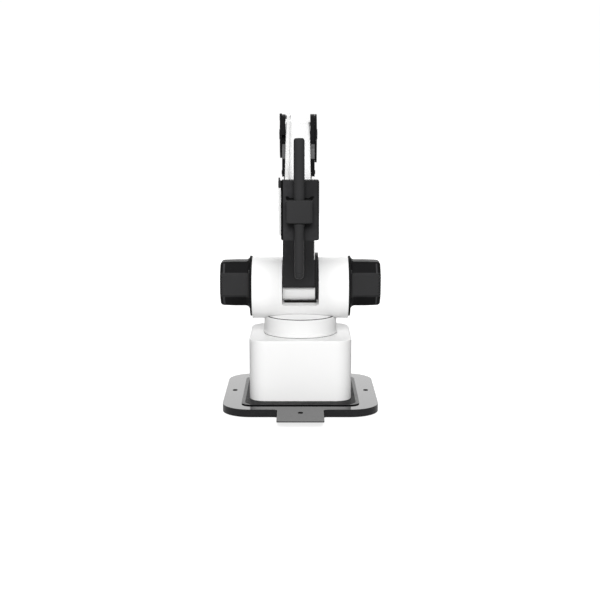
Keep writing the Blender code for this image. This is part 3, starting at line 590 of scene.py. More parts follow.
# ======================================================================= BASE
def plate_outline(inset=0.0, seg=16):
    h, r, t, f = 74.8 - inset, 27.0 - inset, 21.8 - inset, 4.0
    b = -76.6 + inset
    pts = []
    for cx, cy, a in ((h - r, h - r, 0), (-h + r, h - r, 90), (-h + r, b + r, 180)):
        for i in range(seg + 1):
            w = math.radians(a + 90 * i / seg)
            pts.append((cx + r * math.cos(w), cy + r * math.sin(w)))
    for i in range(9):
        w = math.radians(90 - 90 * i / 8)
        pts.append((-t - f + f * math.cos(w), b - f + f * math.sin(w)))
    front, rt = -118.5 + inset, 2.5
    for i in range(7):
        w = math.radians(180 + 90 * i / 6)
        pts.append((-t + rt + rt * math.cos(w), front + rt + rt * math.sin(w)))
    for i in range(7):
        w = math.radians(270 + 90 * i / 6)
        pts.append((t - rt + rt * math.cos(w), front + rt + rt * math.sin(w)))
    for i in range(9):
        w = math.radians(180 - 90 * i / 8)
        pts.append((t + f + f * math.cos(w), b - f + f * math.sin(w)))
    for i in range(seg + 1):
        w = math.radians(270 + 90 * i / seg)
        pts.append((h - r + r * math.cos(w), b + r + r * math.sin(w)))
    return pts


HOLES = ((65.8, 0.0), (-65.8, 0.0), (0.0, 65.8), (0.0, -88.0))
plate = plate_mesh([plate_outline()] + [ring(2.3, 32, c) for c in HOLES], 0.7, 8.0, "Z")
bm = bmesh.new()
bm.from_mesh(plate)
bmesh.ops.bisect_plane(bm, geom=bm.verts[:] + bm.edges[:] + bm.faces[:], dist=1e-7, plane_co=(0, -92.0 * MM, 0),
                       plane_no=(0, 1, 0))
for v in bm.verts:                       # the underside of the tab rises to a thin lip
    if v.co.y < -92.01 * MM and v.co.z < 0.8 * MM:
        v.co.z += 6.4 * MM * (-92.0 * MM - v.co.y) / (26.5 * MM)
plate = done(bm)
piece("base_plate_fine", plate, GLOSS, "base", "base_plate", bevel=0.3, segs=3, angle=50)
piece("base_skirt_fine", plate_mesh([round_rect(-56.5, 56.5, -62.3, 56.5, 9.0, 14),
                                     round_rect(-49.8, 49.8, -49.8, 49.8, 16.8, 14)], 8.3, 9.0, "Z"),
      SKIRT, "base", "base_skirt", bevel=0.2, segs=2, angle=50)
# painted shade: near-black rings inside each mounting hole and round its mouth stand in for the shadow in the holes
for i, c in enumerate(HOLES):
    piece("plate_hole_painted_shade_wall_%d" % (i + 1), plate_mesh([ring(2.28, 40, c), ring(1.2, 32, c)], 4.2, 7.2, "Z"), NEAR_BLACK_AND_SHADE, "base")
    piece("plate_hole_painted_shade_rim_%d" % (i + 1),
          plate_mesh([belt_outline([((c[0], c[1] - 1.0), 2.4), ((c[0], c[1] + 1.0), 2.4)], 40), ring(1.1, 32, c)],
                     7.5, 8.07, "Z"), NEAR_BLACK_AND_SHADE, "base", bevel=0.05, segs=1)

# housing: outer shell with round corners, softened top and bottom edges
def shell_sections(half, corner, z_profile, seg=14):
    """Stack of rounded squares; z_profile holds (inset, z)."""
    out = []
    for inset, z in z_profile:
        h, r = half - inset, corner - inset
        out.append([(x, y, z) for x, y in round_rect(-h, h, -h, h, r, seg)])
    return out


prof = []
for i in range(7):                       # bottom edge
    t = math.radians(90 * i / 6)
    prof.append((0.6 * (1 - math.sin(t)), 8.3 + 0.6 * (1 - math.cos(t))))
prof += [(0, 20), (0, 40), (0, 60)]
for i in range(7):                       # top edge
    t = math.radians(90 * i / 6)
    prof.append((1.3 * (1 - math.cos(t)), 66.7 + 1.3 * math.sin(t)))
housing = loft_mesh(shell_sections(49.5, 16.5, prof))
cuts = [plate_mesh([round_rect(-46.7, 46.7, -46.7, 46.7, 13.7, 8)], 5, 65.2, "Z"),
        cyl_mesh(12.0, 60, 75, (0, 0), "Z", 48),
        cyl_mesh(6.3, 41, 56, (34.0, 40.0), "Y", 40),
        plate_mesh([round_rect(26.6, 41.4, 15.6, 28.4, 1.2, 5)], 41, 56, "Y"),
        plate_mesh([round_rect(-38.9, -27.1, 19.4, 25.0, 1.6, 5)], 41, 56, "Y")]
for k in range(7):                       # vents in the rear wall
    x = -15 + k * 5
    cuts.append(plate_mesh([round_rect(x - 1.0, x + 1.0, 26, 48, 0.95, 5)], 44, 56, "Y"))
housing = cut(housing, cuts)
# painted shade: a near-black ring on the skirt round the housing foot stands in for the shadow gap under the housing
foot_shade_ring = plate_mesh([round_rect(-53.2, 53.2, -60.6, 53.2, 10.0, 12)], 8.7, 9.2, "Z")
foot_shade_ring = cut(foot_shade_ring, [plate_mesh([round_rect(-49.0, 49.0, -49.0, 49.0, 14.0, 12)], 8.0, 10.0, "Z")])
piece("housing_foot_painted_shade", foot_shade_ring, DEEP_BLACK_AND_SHADE, "base", bevel=0.1, segs=1)
piece("base_housing_fine", housing, WHITE_PAINTED_SHADE_BASE, "base", "base_housing", sharp=35)
btn = cyl_mesh(5.9, 41.0, 50.9, (34.0, 40.0), "Y", 56)
btn = cut(btn, [cyl_mesh(3.6, 50.55, 52, (34.0, 40.0), "Y", 40)])
piece("power_button_fine", btn, BLACK, "power_button", "power_button", bevel=0.35, segs=2)
piece("power_button_mark", plate_mesh([ring(2.5, 40, (34.0, 40.0)), ring(2.05, 40, (34.0, 40.0))], 50.3, 50.62, "Y"),
      WHITE_LINK, "power_button")
inlet = cut(plate_mesh([round_rect(27.0, 41.0, 16.0, 28.0, 0.8, 4)], 37.0, 49.0, "Y"),
            [cyl_mesh(4.2, 40.0, 52.0, (34.0, 22.0), "Y", 40)])
piece("power_inlet_fine", inlet, BLACK, "base", "power_inlet", bevel=0.3, segs=2)
piece("power_inlet_pin", cyl_mesh(1.05, 39.0, 47.5, (34.0, 22.0), "Y", 24), STEEL, "base", bevel=0.3)
usb = cut(plate_mesh([round_rect(-38.5, -27.5, 19.8, 24.6, 1.3, 5)], 40.0, 49.0, "Y"),
          [plate_mesh([round_rect(-37.8, -28.2, 20.5, 23.9, 1.0, 5)], 41.0, 52.0, "Y")])
piece("usb_port_fine", usb, STEEL, "base", "usb_port", bevel=0.12, segs=2)
piece("usb_tongue", box_mesh((-36.2, 41.0, 21.85), (-29.8, 48.0, 22.55)), NEAR_BLACK_AND_SHADE, "base", bevel=0.1)
for i, (x, z) in enumerate(((-44.0 + 6, 61.0), (44.0 - 6, 61.0), (0.0, 20.0))):
    socket_screw("rear_wall_screw_%d" % (i + 1), (x, 49.35, z), "Y", "base", r=1.9, head=0.9, mat=DARK_STEEL, sign=1)

# ===================================================================== TURRET
neck_prof = [(0, 90.5), (12, 90.1), (24, 88.6), (31, 86.9), (33.4, 86.1), (33.9, 85.9), (33.95, 84.9), (34.75, 84.9),
             (34.8, 85.5), (35.25, 85.3), (35.55, 84.8), (35.7, 84.0),
             (35.7, 82.8), (35.85, 78), (36.0, 72.0), (36.0, 71.2), (36.25, 70.6), (36.6, 70.35), (36.6, 68.7),
             (36.4, 68.35), (31, 68.35), (31, 77.0), (9.3, 77.0), (0, 77.0)]
neck = cut(turned_mesh(neck_prof, 144), [cyl_mesh(30.6, -60, 60, (0, 112.7), "X", 160)])
# painted shade: near-black rings at the neck's foot on the housing top and in the groove near its rim stand in for the
# shadow in these gaps
piece("neck_foot_painted_shade", plate_mesh([ring(36.3, 120), ring(34.0, 96)], 68.02, 68.34, "Z"), NEAR_BLACK_AND_SHADE, "turret")
piece("neck_rim_painted_shade", plate_mesh([ring(34.7, 120), ring(33.3, 96)], 85.25, 85.95, "Z"), NEAR_BLACK_AND_SHADE, "turret")
piece("neck_fine", neck, WHITE_PAINTED_SHADE_NECK, "turret", "neck", sharp=28)

drum = cyl_mesh(30.3, -47.3, 46.9, (0, 112.7), "X", 160)
drum = cut(drum, [plate_mesh([round_rect(-17.9, 17.9, 98.6, 190, 3.0, 10)], -60, 60, "Y"),
                  cyl_mesh(21.5, -60, -20.6, SHOULDER, "X", 72), cyl_mesh(21.5, 20.6, 60, SHOULDER, "X", 72),
                  cyl_mesh(6.4, -24, -16, SHOULDER, "X", 40), cyl_mesh(6.4, 16, 24, SHOULDER, "X", 40)])
# painted shade: a thin near-black sheet on the slot floor stands in for the shadow gap under the hub
piece("arm_slot_painted_shade", plate_mesh([round_rect(-16.9, 16.9, -7.5, 14.0, 1.0, 5)], 98.5, 98.9, "Z"), NEAR_BLACK_AND_SHADE, "turret",
      bevel=0.1, segs=1)
piece("shoulder_housing_fine", drum, WHITE, "turret", "shoulder_housing", bevel=1.1, segs=4, angle=40,
      sharp=40)


def octo(half, c, rr, n=6):
    """Octagon outline with rounded corners about the origin: half across flats, c cut from each side."""
    k = c
    corners = [(half, half - k), (half - k, half), (-half + k, half), (-half, half - k),
               (-half, -half + k), (-half + k, -half), (half - k, -half), (half, -half + k)]
    pts = []
    for i in range(8):
        p, q, s = corners[i - 1], corners[i], corners[(i + 1) % 8]
        d1 = Vector((p[0] - q[0], p[1] - q[1])).normalized()
        d2 = Vector((s[0] - q[0], s[1] - q[1])).normalized()
        ang = d1.angle(d2)
        t = rr / math.tan(ang / 2)
        a = Vector(q) + d1 * t
        b = Vector(q) + d2 * t
        bis = (d1 + d2).normalized()
        cen = Vector(q) + bis * (rr / math.sin(ang / 2))
        a0 = math.atan2(a.y - cen.y, a.x - cen.x)
        a1 = math.atan2(b.y - cen.y, b.x - cen.x)
        while a1 - a0 > math.pi:
            a1 -= 2 * math.pi
        while a1 - a0 < -math.pi:
            a1 += 2 * math.pi
        for j in range(n + 1):
            w = a0 + (a1 - a0) * j / n
            pts.append((cen.x + rr * math.cos(w), cen.y + rr * math.sin(w)))
    return pts


COVER_Z = 118.0


def cover_mesh(sgn, x_in, x_out):
    """Motor cover: flares onto its flange, slightly tapered, domed at the end."""
    stations = []
    L = abs(x_out - x_in)
    for i in range(7):                               # flare
        t = i / 6
        stations.append((L * 0 + 4.2 * (1 - math.cos(math.radians(90 * t))), 4.2 * (1 - math.sin(math.radians(90 * t)))))
    stations += [(8.0, 0.0), (14.0, 0.0), (L - 8.0, -0.25), (L - 4.0, -0.45)]
    for i in range(1, 8):
        t = math.radians(90 * i / 7)
        stations.append((L - 3.6 + 3.2 * math.sin(t), -0.5 - 2.9 * (1 - math.cos(t))))
    stations.append((L, -3.4 - 5.0))
    sections = []
    for d, grow in stations:
        half = 21.9 + grow
        # the flare is round like the flange; the body is an octagon
        o = octo(half, 11.8 + grow * 0.75, 2.2)
        x = x_in + sgn * d
        sections.append([(x, p[0], COVER_Z + p[1]) for p in o])
    return loft_mesh(sections)


def pocket(sgn, ang, x0, x1):
    """Rounded recess on one slanted face of a motor cover; ang in degrees about the shoulder axis."""
    me = plate_mesh([round_rect(min(x0, x1), max(x0, x1), -6.4, 6.4, 2.4, 8)], 0, 6, "Z")
    dist = (21.9 * 2 - 11.8) / math.sqrt(2) - 0.22
    m = (Matrix.Translation(Vector((0, 0, COVER_Z)) * MM) @ Matrix.Rotation(math.radians(ang), 4, "X")
         @ Matrix.Translation((0, 0, dist * MM)))
    me.transform(m)
    bm = bmesh.new()
    bm.from_mesh(me)
    bpy.data.meshes.remove(me)
    return done(bm)


for side, sgn, x_in in (("left", -1, -49.7), ("right", 1, 49.3)):
    x_drum = -47.3 if side == "left" else 46.9
    f0, f1 = x_drum + sgn * 0.3, x_drum + sgn * 2.1
    piece("flange_%s_fine" % side, plate_mesh([ring(29.9, 120, (0, 114.5)), ring(8.0, 40, SHOULDER)],
                                              min(f0, f1), max(f0, f1), "X"),
          DEEP_BLACK_AND_SHADE, "turret", "flange_" + side, bevel=0.5, segs=3, angle=50)
    x_out = sgn * 79.0
    cover = cover_mesh(sgn, x_in, x_out)
    tools = [pocket(sgn, a, x_in + sgn * 6.0, x_out + sgn * 3.0) for a in (45, 135, 225, 315)]
    for k in range(8):                        # vent slots across the end, out to its edges
        z = COVER_Z - 10.5 + k * 3.0
        tools.append(box_mesh((min(x_out - sgn * 2.7, x_out + sgn * 3), -26.0, z - 0.65),
                              (max(x_out - sgn * 2.7, x_out + sgn * 3), 26.0, z + 0.65)))
    cover = cut(cover, tools)
    cover = piece("motor_cover_%s_fine" % side, cover, DEEP_BLACK_AND_SHADE, "turret", "motor_cover_" + side, bevel=0.35, segs=2, angle=40,
          sharp=35)
    # painted shade: the slanted top and bottom faces keep the darker black, only the front strip gets the lighter black
    paint_light_band(cover, BLACK, COVER_Z - 12.0, COVER_Z + 12.0)
    for i, (y, z) in enumerate(((-25.5, 99.5), (25.5, 99.5), (-24.5, 131.5), (24.5, 131.5))):
        socket_screw("flange_screw_%s_%d" % (side, i + 1), (f1, y * 0.985, z), "X", "turret", r=1.7, head=1.0,
                     mat=DARK_STEEL, sign=sgn)

# ================================================================== LOWER ARM
core = plate_mesh([[arm(0, -5.5), arm(0, 17.9), arm(84, 17.9), arm(84, -5.5)][::-1]], -17.3, 14.2, "X")
core = cut(core, [plate_mesh([[arm(-2, -14.0), arm(-2, 17.0), arm(86, 17.0), arm(125, -5.0), arm(125, -14.0)][::-1]],
                             -14.4, 9.4, "X"), cyl_mesh(16.8, -17.35, 14.25, SHOULDER, "X", 128)], "UNION")
core = cut(core, [cyl_mesh(3.2, -30, 30, SHOULDER, "X", 32),
                  frame_yz(plate_mesh([round_rect(-9.5, 4.5, 26, 118, 3.0, 8)], -30, -10.5, "Z"), SHOULDER, A_DIR, N_DIR)])
piece("lower_arm_frame_fine", core, WHITE, "lower_arm", "lower_arm_frame", bevel=0.8, segs=3, angle=40,
      sharp=40)
for k in range(5):
    a = 36 + k * 18
    piece("lower_arm_rib_%d" % (k + 1), plate_mesh([[arm(a, -13.6), arm(a + 1.6, -13.6), arm(a + 1.6, -9.9), arm(a, -9.9)]],
                                                   -9.8, 4.8, "X"), WHITE_LINK, "lower_arm")

cov = plate_mesh([[arm(-7.2, 18.3), arm(-7.2, 20.5), arm(-5.6, 22.2), arm(72, 22.2), arm(76, 20.6), arm(77, 18.3)][::-1]],
                 -17.3, 14.2, "X")
PEN_X = -1.15
r = 5.9
gpts = [(PEN_X + r, 66.0), (PEN_X - r, 66.0)]
gpts += [(PEN_X - r * math.cos(math.radians(180 * i / 24)), 5.0 - r * math.sin(math.radians(180 * i / 24)))
         for i in range(25)]
cov = cut(cov, [frame_yz(plate_mesh([gpts], 20.9, 26.0, "Z"), SHOULDER, A_DIR, N_DIR),
                plate_mesh([[arm(20, 17.0), arm(20, 24.0), arm(80, 24.0), arm(80, 17.0)][::-1]], 13.4, 16.0, "X")])
piece("lower_arm_front_cover_fine", cov, BLACK, "lower_arm", "lower_arm_front_cover", bevel=0.45, segs=3, angle=40,
      sharp=40)

fork_line = belt_outline([(ELBOW, 8.2), (arm(ARM_LEN, 4.5), 9.0), (arm(96, 1.5), 9.0), (arm(88.5, -3.5), 3.8),
                          (arm(88.5, 7.0), 3.8)])
fork_pocket = belt_outline([(arm(100, 2.0), 4.6), (arm(132, 3.4), 4.6)], 40)
DISC_R, DISC_DROP = 21.9, 2.0
DISC = (ELBOW[0], ELBOW[1] - DISC_DROP)
fork_disc = [arm(ARM_LEN - DISC_DROP + DISC_R * math.cos(math.radians(t)), DISC_R * math.sin(math.radians(t))) for t in range(5, 141, 3)]
fork_disc += [arm(a, n) for a, n in ((92, 10.9), (88.5, 10.8), (85.6, 9.4), (84.7, 7.0), (84.7, -3.5), (85.8, -6.2),
                                     (88.5, -7.3), (ARM_LEN, -8.2), (ARM_LEN + 4.1, -7.1), (ARM_LEN + 7.1, -4.1))]
for side, x0, x1, out, line in (("left", -18.2, -14.8, -1, fork_line), ("right", 9.9, 14.2, 1, fork_disc[::-1])):
    me = plate_mesh([line, ring(3.3, 32, ELBOW)], x0, x1, "X")
    xo = x0 if out < 0 else x1
    me = cut(me, [plate_mesh([fork_pocket], min(xo - out * 0.8, xo + out * 2), max(xo - out * 0.8, xo + out * 2), "X")])
    fork = piece("elbow_fork_%s_fine" % side, me, DEEP_BLACK_AND_SHADE, "lower_arm", "elbow_fork_" + side, bevel=0.4, segs=3)
    # painted reflection: a lighter grey-black strip across each fork where its edge would mirror the white floor
    paint_light_band(fork, BLACK_PAINTED_REFLECTION, 238.8, 253.2)
me = plate_mesh([belt_outline([(arm(ARM_LEN - DISC_DROP, 0), DISC_R), (arm(ARM_LEN - 21, 0), 8.0)], 96), ring(3.3, 32, ELBOW)], 14.5, 16.4, "X")
me = cut(me, [plate_mesh([ring(16.5, 72, ELBOW), ring(8.4, 48, ELBOW)], 15.9, 18, "X")])
piece("elbow_plate_right_fine", me, DEEP_BLACK_AND_SHADE, "lower_arm", "elbow_plate_right", bevel=0.35, segs=3)
for i, a in enumerate((94, 112)):
    socket_screw("fork_screw_left_%d" % (i + 1), (-17.9, *arm(a, 1.8 + 0.6 * i)), "X", "lower_arm", r=2.2, head=0.9,
                 mat=DARK_STEEL, sign=-1)
    socket_screw("fork_screw_right_%d" % (i + 1), (14.0, *arm(a, 1.8 + 0.6 * i)), "X", "lower_arm", r=2.2, head=0.9,
                 mat=DARK_STEEL, sign=1)


def pin_mesh(x0, x1, c, r, head_r, head_l=None, head_r_at=None, seg=48, socket=True):
    """Pin along X with low round heads, chamfered ends and a hexagon socket."""
    parts = [cyl_mesh(r, x0, x1, c, "X", seg)]
    if head_l:
        parts.append(cyl_mesh(head_r, head_l[0], head_l[1], c, "X", seg))
    if head_r_at:
        parts.append(cyl_mesh(head_r, head_r_at[0], head_r_at[1], c, "X", seg))
    base = parts[0]
    base = cut(base, parts[1:], "UNION") if len(parts) > 1 else base
    tools = []
    if socket and head_l:
        tools.append(cyl_mesh(head_r * 0.48, head_l[0] - 1, head_l[0] + 0.9, c, "X", 6))
    if socket and head_r_at:
        tools.append(cyl_mesh(head_r * 0.48, head_r_at[1] - 0.9, head_r_at[1] + 1, c, "X", 6))
    return cut(base, tools) if tools else base


piece("elbow_axle_fine", pin_mesh(-21.0, 16.9, ELBOW, 3.0, 5.2, (-21.3, -20.65), (16.5, 17.2)), STEEL, "lower_arm",
      "elbow_axle", bevel=0.2, segs=2)
piece("elbow_cap_ring", plate_mesh([ring(8.0, 64, ELBOW), ring(5.6, 48, ELBOW)], 15.7, 16.5, "X"), DARK_STEEL,
      "lower_arm", bevel=0.2, segs=2)

# ============================================================ LEVEL LINKAGE
lev = plate_mesh([belt_outline([(DISC, DISC_R), (LEVEL_REAR, 5.6), (LEVEL_FRONT, 3.6)], 96), ring(3.4, 40, ELBOW),
                  ring(3.0, 40, (ELBOW[0] + 14.0, ELBOW[1] - 1.2))], -20.5, -18.6, "X")
rim = [(c[0] + r * math.cos(math.radians(t)), c[1] + r * math.sin(math.radians(t)))
       for c, r, turn in ((DISC, DISC_R - 0.15, range(62, 177, 2)), (ELBOW, 14.3, range(176, 61, -2))) for t in turn]
lev = cut(lev, [plate_mesh([rim], -19.1, -15.0, "X")], "UNION")
lev = cut(lev, [cyl_mesh(2.1, -30, -10, LEVEL_FRONT, "X", 32), cyl_mesh(2.1, -30, -10, LEVEL_REAR, "X", 32)])
piece("level_plate_fine", lev, DEEP_BLACK_AND_SHADE, "level_plate", "level_plate", bevel=0.35, segs=3, sharp=40)
for nm, c, x1 in (("rear", LEVEL_REAR, -8.9), ("front", LEVEL_FRONT, -9.9)):
    piece("level_plate_%s_pin_fine" % nm, pin_mesh(-20.9, x1, c, 2.0, 3.3, (-20.9, -20.3), None), STEEL, "level_plate",
          "level_plate_%s_pin" % nm, bevel=0.15, segs=2)


def link_mesh(p, q, end_r, half, xs, holes, web=0.9):
    d = math.dist(p, q)
    u = ((q[0] - p[0]) / d, (q[1] - p[1]) / d)
    pts = []
    oa = math.asin(half / end_r)
    for centre, base in ((p, math.atan2(-u[1], -u[0])), (q, math.atan2(u[1], u[0]))):
        for i in range(41):
            t = base - (math.pi - oa) + 2 * (math.pi - oa) * i / 40
            pts.append((centre[0] + end_r * math.cos(t), centre[1] + end_r * math.sin(t)))
    me = plate_mesh([pts] + [ring(r, 36, c) for r, c in zip(holes, (p, q))], xs[0], xs[1], "X")
    w = half - 1.15
    m0, m1 = 9.5, d - 9.5
    A = (p[0] + u[0] * m0, p[1] + u[1] * m0)
    B = (p[0] + u[0] * m1, p[1] + u[1] * m1)
    groove = belt_outline([(A, w), (B, w)], 32)
    return cut(me, [plate_mesh([groove], xs[0] - 2, xs[0] + web, "X"), plate_mesh([groove], xs[1] - web, xs[1] + 2, "X")])


piece("level_rod_fine", link_mesh(ANCHOR, LEVEL_REAR, 4.6, 2.9, (-13.5, -9.5), (2.3, 2.3)), WHITE_LINK, "level_rod",
      "level_rod", bevel=0.35, segs=3)
piece("head_link_fine", link_mesh(LEVEL_FRONT, HEAD_PIVOT, 4.0, 2.5, (-13.5, -10.5), (2.3, 2.3), 0.7), WHITE_LINK,
      "head_link", "head_link", bevel=0.3, segs=3)
piece("drive_rod_fine", link_mesh(CRANK_PIN, FORE_PIN, 4.9, 2.9, (10.3, 13.6), (3.7, 2.3), 0.8), WHITE_LINK,
      "drive_rod", "drive_rod", bevel=0.35, segs=3)
piece("drive_rod_end_cap", plate_mesh([ring(4.8, 56, FORE_PIN), ring(2.35, 36, FORE_PIN)], 13.55, 14.0, "X"),
      BLACK, "drive_rod", bevel=0.12, segs=2)

# ==================================================================== CRANK
def sector(rr, a0, a1, centre, n=64):
    return [centre] + [(centre[0] + rr * math.cos(math.radians(a0 + (a1 - a0) * i / n)),
                        centre[1] + rr * math.sin(math.radians(a0 + (a1 - a0) * i / n))) for i in range(n + 1)]


piece("crank_plate_fine", plate_mesh([hull(sector(30.6, 22, 112, SHOULDER) + ring(4.6, 48, CRANK_PIN)
                                           + ring(16.5, 96, SHOULDER)),
                                      ring(3.1, 32, SHOULDER), ring(2.3, 32, CRANK_PIN)], 14.6, 17.4, "X"),
      BLACK, "crank", "crank_plate", bevel=0.5, segs=3)

# ================================================================== FOREARM
def forearm_sections():
    """Cross-sections along the forearm, rounded rectangles that taper to the wrist."""
    secs = []
    x0, x1 = -14.4, 9.5
    stations = []
    for i in range(15):                    # round rear end about the elbow
        t = math.radians(180 - 90 * i / 14 * 1.0)
        stations.append((13.0 * math.cos(t), 13.0 * math.sin(t)))
    stations += [(10, 12.95), (30, 12.4), (60, 11.9), (90, 11.3), (120, 10.7), (FORE_LEN - 4, 10.25)]
    for i in range(15):
        t = math.radians(90 - 90 * i / 14)
        stations.append((FORE_LEN + 10.2 * math.cos(t), 10.2 * math.sin(t)))
    for f, h in stations:
        h = max(h, 0.6)
        rr = min(2.6, h * 0.9)
        pts = round_rect(x0, x1, -h, h, rr, 6)
        secs.append([(x, *fore(f, u)) for x, u in pts])
    return secs


fa = loft_mesh(forearm_sections())
fa = cut(fa, [plate_mesh([belt_outline([(ELBOW, 9.0), (FORE_PIN, 4.9)], 64)], 4.6, 9.45, "X")], "UNION")
fa = cut(fa, [cyl_mesh(5.3, -30, 30, ELBOW, "X", 48), cyl_mesh(4.3, -30, 30, WRIST, "X", 48),
              cyl_mesh(2.25, 0, 30, FORE_PIN, "X", 32),
              plate_mesh([belt_outline([(fore(26, 0), 7.4), (fore(118, 0), 6.2)], 56)], 8.9, 12, "X"),
              plate_mesh([belt_outline([(fore(26, 0), 7.4), (fore(118, 0), 6.2)], 56)], -17, -13.8, "X")])
relief = []                                   # where the head link's rear eye passes over the elbow end
for a in (25.5, 21.0, 16.5, 12.0):
    t = math.radians(a)
    vy, vz = LEVEL_FRONT[0] - ELBOW[0], LEVEL_FRONT[1] - ELBOW[1]
    relief.append(cyl_mesh(4.6, -14.6, -9.6, (ELBOW[0] + vy * math.cos(t) - vz * math.sin(t),
                                              ELBOW[1] + vy * math.sin(t) + vz * math.cos(t)), "X", 40))
fa = cut(fa, relief)
piece("forearm_shell_fine", fa, WHITE, "forearm", "forearm_shell", sharp=34)
for side, x0, x1 in (("right", 8.95, 9.35), ("left", -14.25, -13.85)):
    piece("forearm_panel_" + side, plate_mesh([belt_outline([(fore(26, 0), 7.1), (fore(118, 0), 5.9)], 56)], x0, x1, "X"),
          WHITE_LINK, "forearm", bevel=0.15, segs=2)
    sgn = 1 if side == "right" else -1
    for i, f in enumerate((26, 118)):
        socket_screw("forearm_screw_%s_%d" % (side, i + 1), ((x1 if sgn > 0 else x0) - sgn * 0.45, *fore(f, 0)), "X", "forearm",
                     r=1.7, head=0.55, mat=DARK_STEEL, sign=sgn)
piece("forearm_drive_pin_fine", pin_mesh(4.8, 14.1, FORE_PIN, 2.0, 3.0, None, (13.9, 14.3)), STEEL, "forearm",
      "forearm_drive_pin", bevel=0.15, segs=2)

# ===================================================================== HEAD
cheek = belt_outline([(WRIST, 9.0), (HEAD_PIVOT, 5.0), ((-104.0, 222.0), 1.5), ((-104.0, 186.0), 1.5)], 56)
br = plate_mesh([round_rect(-19.4, 13.4, 175.0, 224.0, 1.5, 6)], -106.0, -103.0, "Y")
br = cut(br, [plate_mesh([cheek], -17.8, -14.8, "X"), plate_mesh([cheek], 9.9, 12.9, "X")], "UNION")
br = cut(br, [cyl_mesh(2.5, -30, 30, WRIST, "X", 32), cyl_mesh(2.3, -30, 5, HEAD_PIVOT, "X", 32)])
piece("wrist_bracket_fine", br, WHITE, "head", "wrist_bracket", bevel=0.7, segs=3, sharp=40)
piece("wrist_axle_fine", pin_mesh(-18.6, 13.6, WRIST, 2.2, 3.8, (-19.2, -18.1), (13.2, 14.3)), STEEL, "head",
      "wrist_axle", bevel=0.25, segs=2)
piece("head_link_pin_fine", pin_mesh(-18.4, -10.0, HEAD_PIVOT, 2.0, 4.2, (-19.6, -18.1), None), DARK_STEEL, "head",
      "head_link_pin", bevel=0.25, segs=2)
piece("bracket_cap", plate_mesh([round_rect(-19.6, -16.9, 217.2, 224.2, 1.0, 5)], -106.1, -99.6, "Y"), BLACK, "head",
      bevel=0.3, segs=2)

bl = plate_mesh([round_rect(-17.1, 16.4, 172.3, 225.0, 1.6, 8)], -120.0, -106.3, "Y")
bl = cut(bl, [box_mesh((-18.2, -121, 171), (-15.2, -118.9, 228)), box_mesh((14.5, -121, 171), (17.5, -118.9, 228)),
              box_mesh((-19, -114.2, 170), (-16.7, -113.4, 230)), box_mesh((16.0, -114.2, 170), (18, -113.4, 230)),
              box_mesh((-20, -114.2, 224.6), (20, -113.4, 230)),
              frame_yz(cyl_mesh(6.4, 160, 240, (PEN_X, -126.0), "Z", 64), (0, 0), (1, 0), (0, 1))])
# painted shade: a near-black strip down the tool block's left side stands in for the shadow gap there
piece("tool_block_side_painted_shade", plate_mesh([round_rect(-17.0, -15.25, 172.9, 224.4, 0.5, 4)], -119.1, -118.7, "Y"), NEAR_BLACK_AND_SHADE,
      "head", bevel=0.1, segs=1)
piece("tool_block_fine", bl, BLACK_TOOL, "head", "tool_block", bevel=0.5, segs=3, angle=35,
      sharp=38)

clip_secs = []
for z, ins in ((188.2, 0.9), (188.5, 0.35), (189.1, 0.0), (207.3, 0.0), (207.9, 0.35), (208.2, 0.9)):
    front = []
    x0, x1, y0, y1 = -12.2 + ins, 10.4 - ins, -133.0 + ins, -120.3
    bev = 1.5
    br_ = 2.2
    pts = [(x1, y1), (x0, y1), (x0, y0 + bev + 0.5), (x0 + 0.4, y0 + 0.9), (x0 + bev, y0 + 0.35)]
    for i in range(1, 10):
        t = i / 10
        x = x0 + bev + (x1 - x0 - bev - br_) * t
        pts.append((x, y0 + 0.35 - 0.35 * math.sin(math.pi * t)))
    pts += [(x1 - br_, y0 + 0.35), (x1 - 0.5, y0 + 1.5), (x1, y0 + br_ + 0.3)]
    clip_secs.append([(x, y, z) for x, y in pts])
clip = cut(loft_mesh(clip_secs), [cyl_mesh(5.15, 180, 216, (PEN_X, -126.0), "Z", 72)])
# painted shade: a near-black plate behind the pen clip, wider at its top corners, stands in for the shadow around the
# clip on the tool block
clip_shade = plate_mesh([[(-12.1, 187.6), (10.3, 187.6), (10.3, 208.4), (11.9, 210.9), (9.4, 210.9), (7.6, 209.4), (-9.4, 209.4),
                   (-10.6, 210.9), (-13.0, 210.9), (-12.1, 208.4)]], -121.6, -119.6, "Y")
clip_shade = cut(clip_shade, [cyl_mesh(5.4, 180, 216, (PEN_X, -126.0), "Z", 64)])
piece("pen_clip_painted_shade", clip_shade, NEAR_BLACK_AND_SHADE, "head", bevel=0.2, segs=2)
piece("pen_clip_fine", clip, BLACK, "head", "pen_clip", bevel=0.25, segs=2, angle=30, sharp=24)

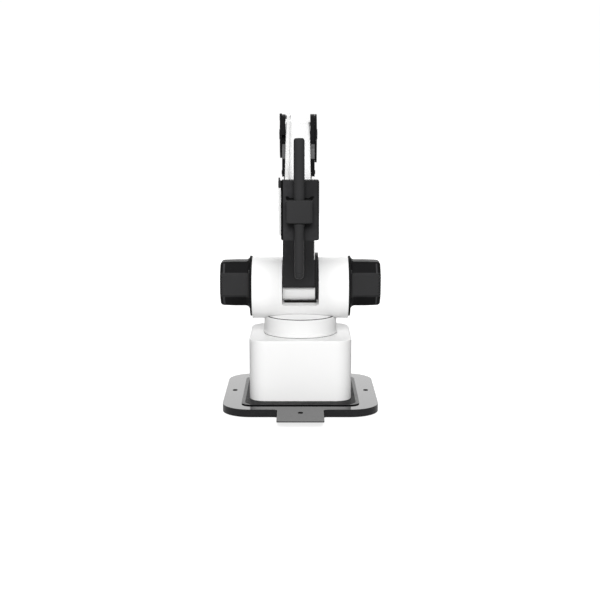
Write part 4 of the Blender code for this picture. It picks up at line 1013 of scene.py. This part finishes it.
Z1, Z0, R, RL = 261.4, 139.3, 4.8, 4.2
pen_prof = [(0, Z1), (R - 2.2, Z1), (R - 1.3, Z1 - 0.15), (R - 0.7, Z1 - 0.55), (R - 0.25, Z1 - 1.2), (R, Z1 - 2.1),
            (R, Z1 - 30), (R, 186.4), (R - 0.1, 185.9), (RL + 0.1, 184.7), (RL, 184.3),
            (RL, Z0 + 34.2), (RL - 0.12, Z0 + 34.0), (RL - 0.12, Z0 + 33.6), (RL, Z0 + 33.4),
            (RL, Z0 + 6.0), (RL - 0.12, Z0 + 5.4), (RL - 0.4, Z0 + 4.6), (0, Z0 + 4.6)]
piece("pen_barrel_fine", turned_mesh(pen_prof, 80, (PEN_X, -126.0)), BLACK_PEN, "pen", "pen_barrel",
      sharp=40)
tip_prof = [(0, Z0 + 4.55), (RL - 0.25, Z0 + 4.55), (RL - 0.3, Z0 + 2.2), (RL - 0.6, Z0 + 1.2), (RL - 1.1, Z0 + 0.5),
            (RL - 2.0, Z0 + 0.05), (RL - 2.8, Z0), (0, Z0)]
piece("pen_tip_fine", turned_mesh(tip_prof, 80, (PEN_X, -126.0)), BLACK_PEN, "pen", "pen_tip",
      sharp=40)

# --------------------------------------------- CAD pieces kept as they are
KEEP = {
    "anti_slip_pad": RUBBER, "base_floor": MOTOR, "main_board": BOARD, "yaw_motor": MOTOR, "timing_belt": BELT,
    "slew_bearing_outer": STEEL, "slew_bearing_inner": STEEL, "turret_shaft": STEEL, "turret_pulley": ALU,
    "yaw_pulley": ALU, "shoulder_motor_left": MOTOR, "shoulder_motor_right": MOTOR, "gearbox_left": ALU,
    "gearbox_right": ALU, "shoulder_bearing_left": STEEL, "shoulder_bearing_right": STEEL, "level_anchor_pin": STEEL,
    "shoulder_shaft_left": STEEL, "crank_shaft": STEEL, "crank_pin": STEEL, "crank_bush": BRASS,
    "elbow_bearing_left": STEEL, "elbow_bearing_right": STEEL, "wrist_bearing_left": STEEL, "wrist_bearing_right": STEEL,
}
for name, mat in KEEP.items():
    ob = NODES[name]
    if not ob.material_slots:
        ob.data.materials.append(mat)
    for s in ob.material_slots:
        s.material = mat
left_over = [n for n, o in NODES.items() if n not in KEEP and not o.hide_render]
if left_over:
    print("NODES WITHOUT A FINISH:", left_over)

print("PIECES", COUNT[0])
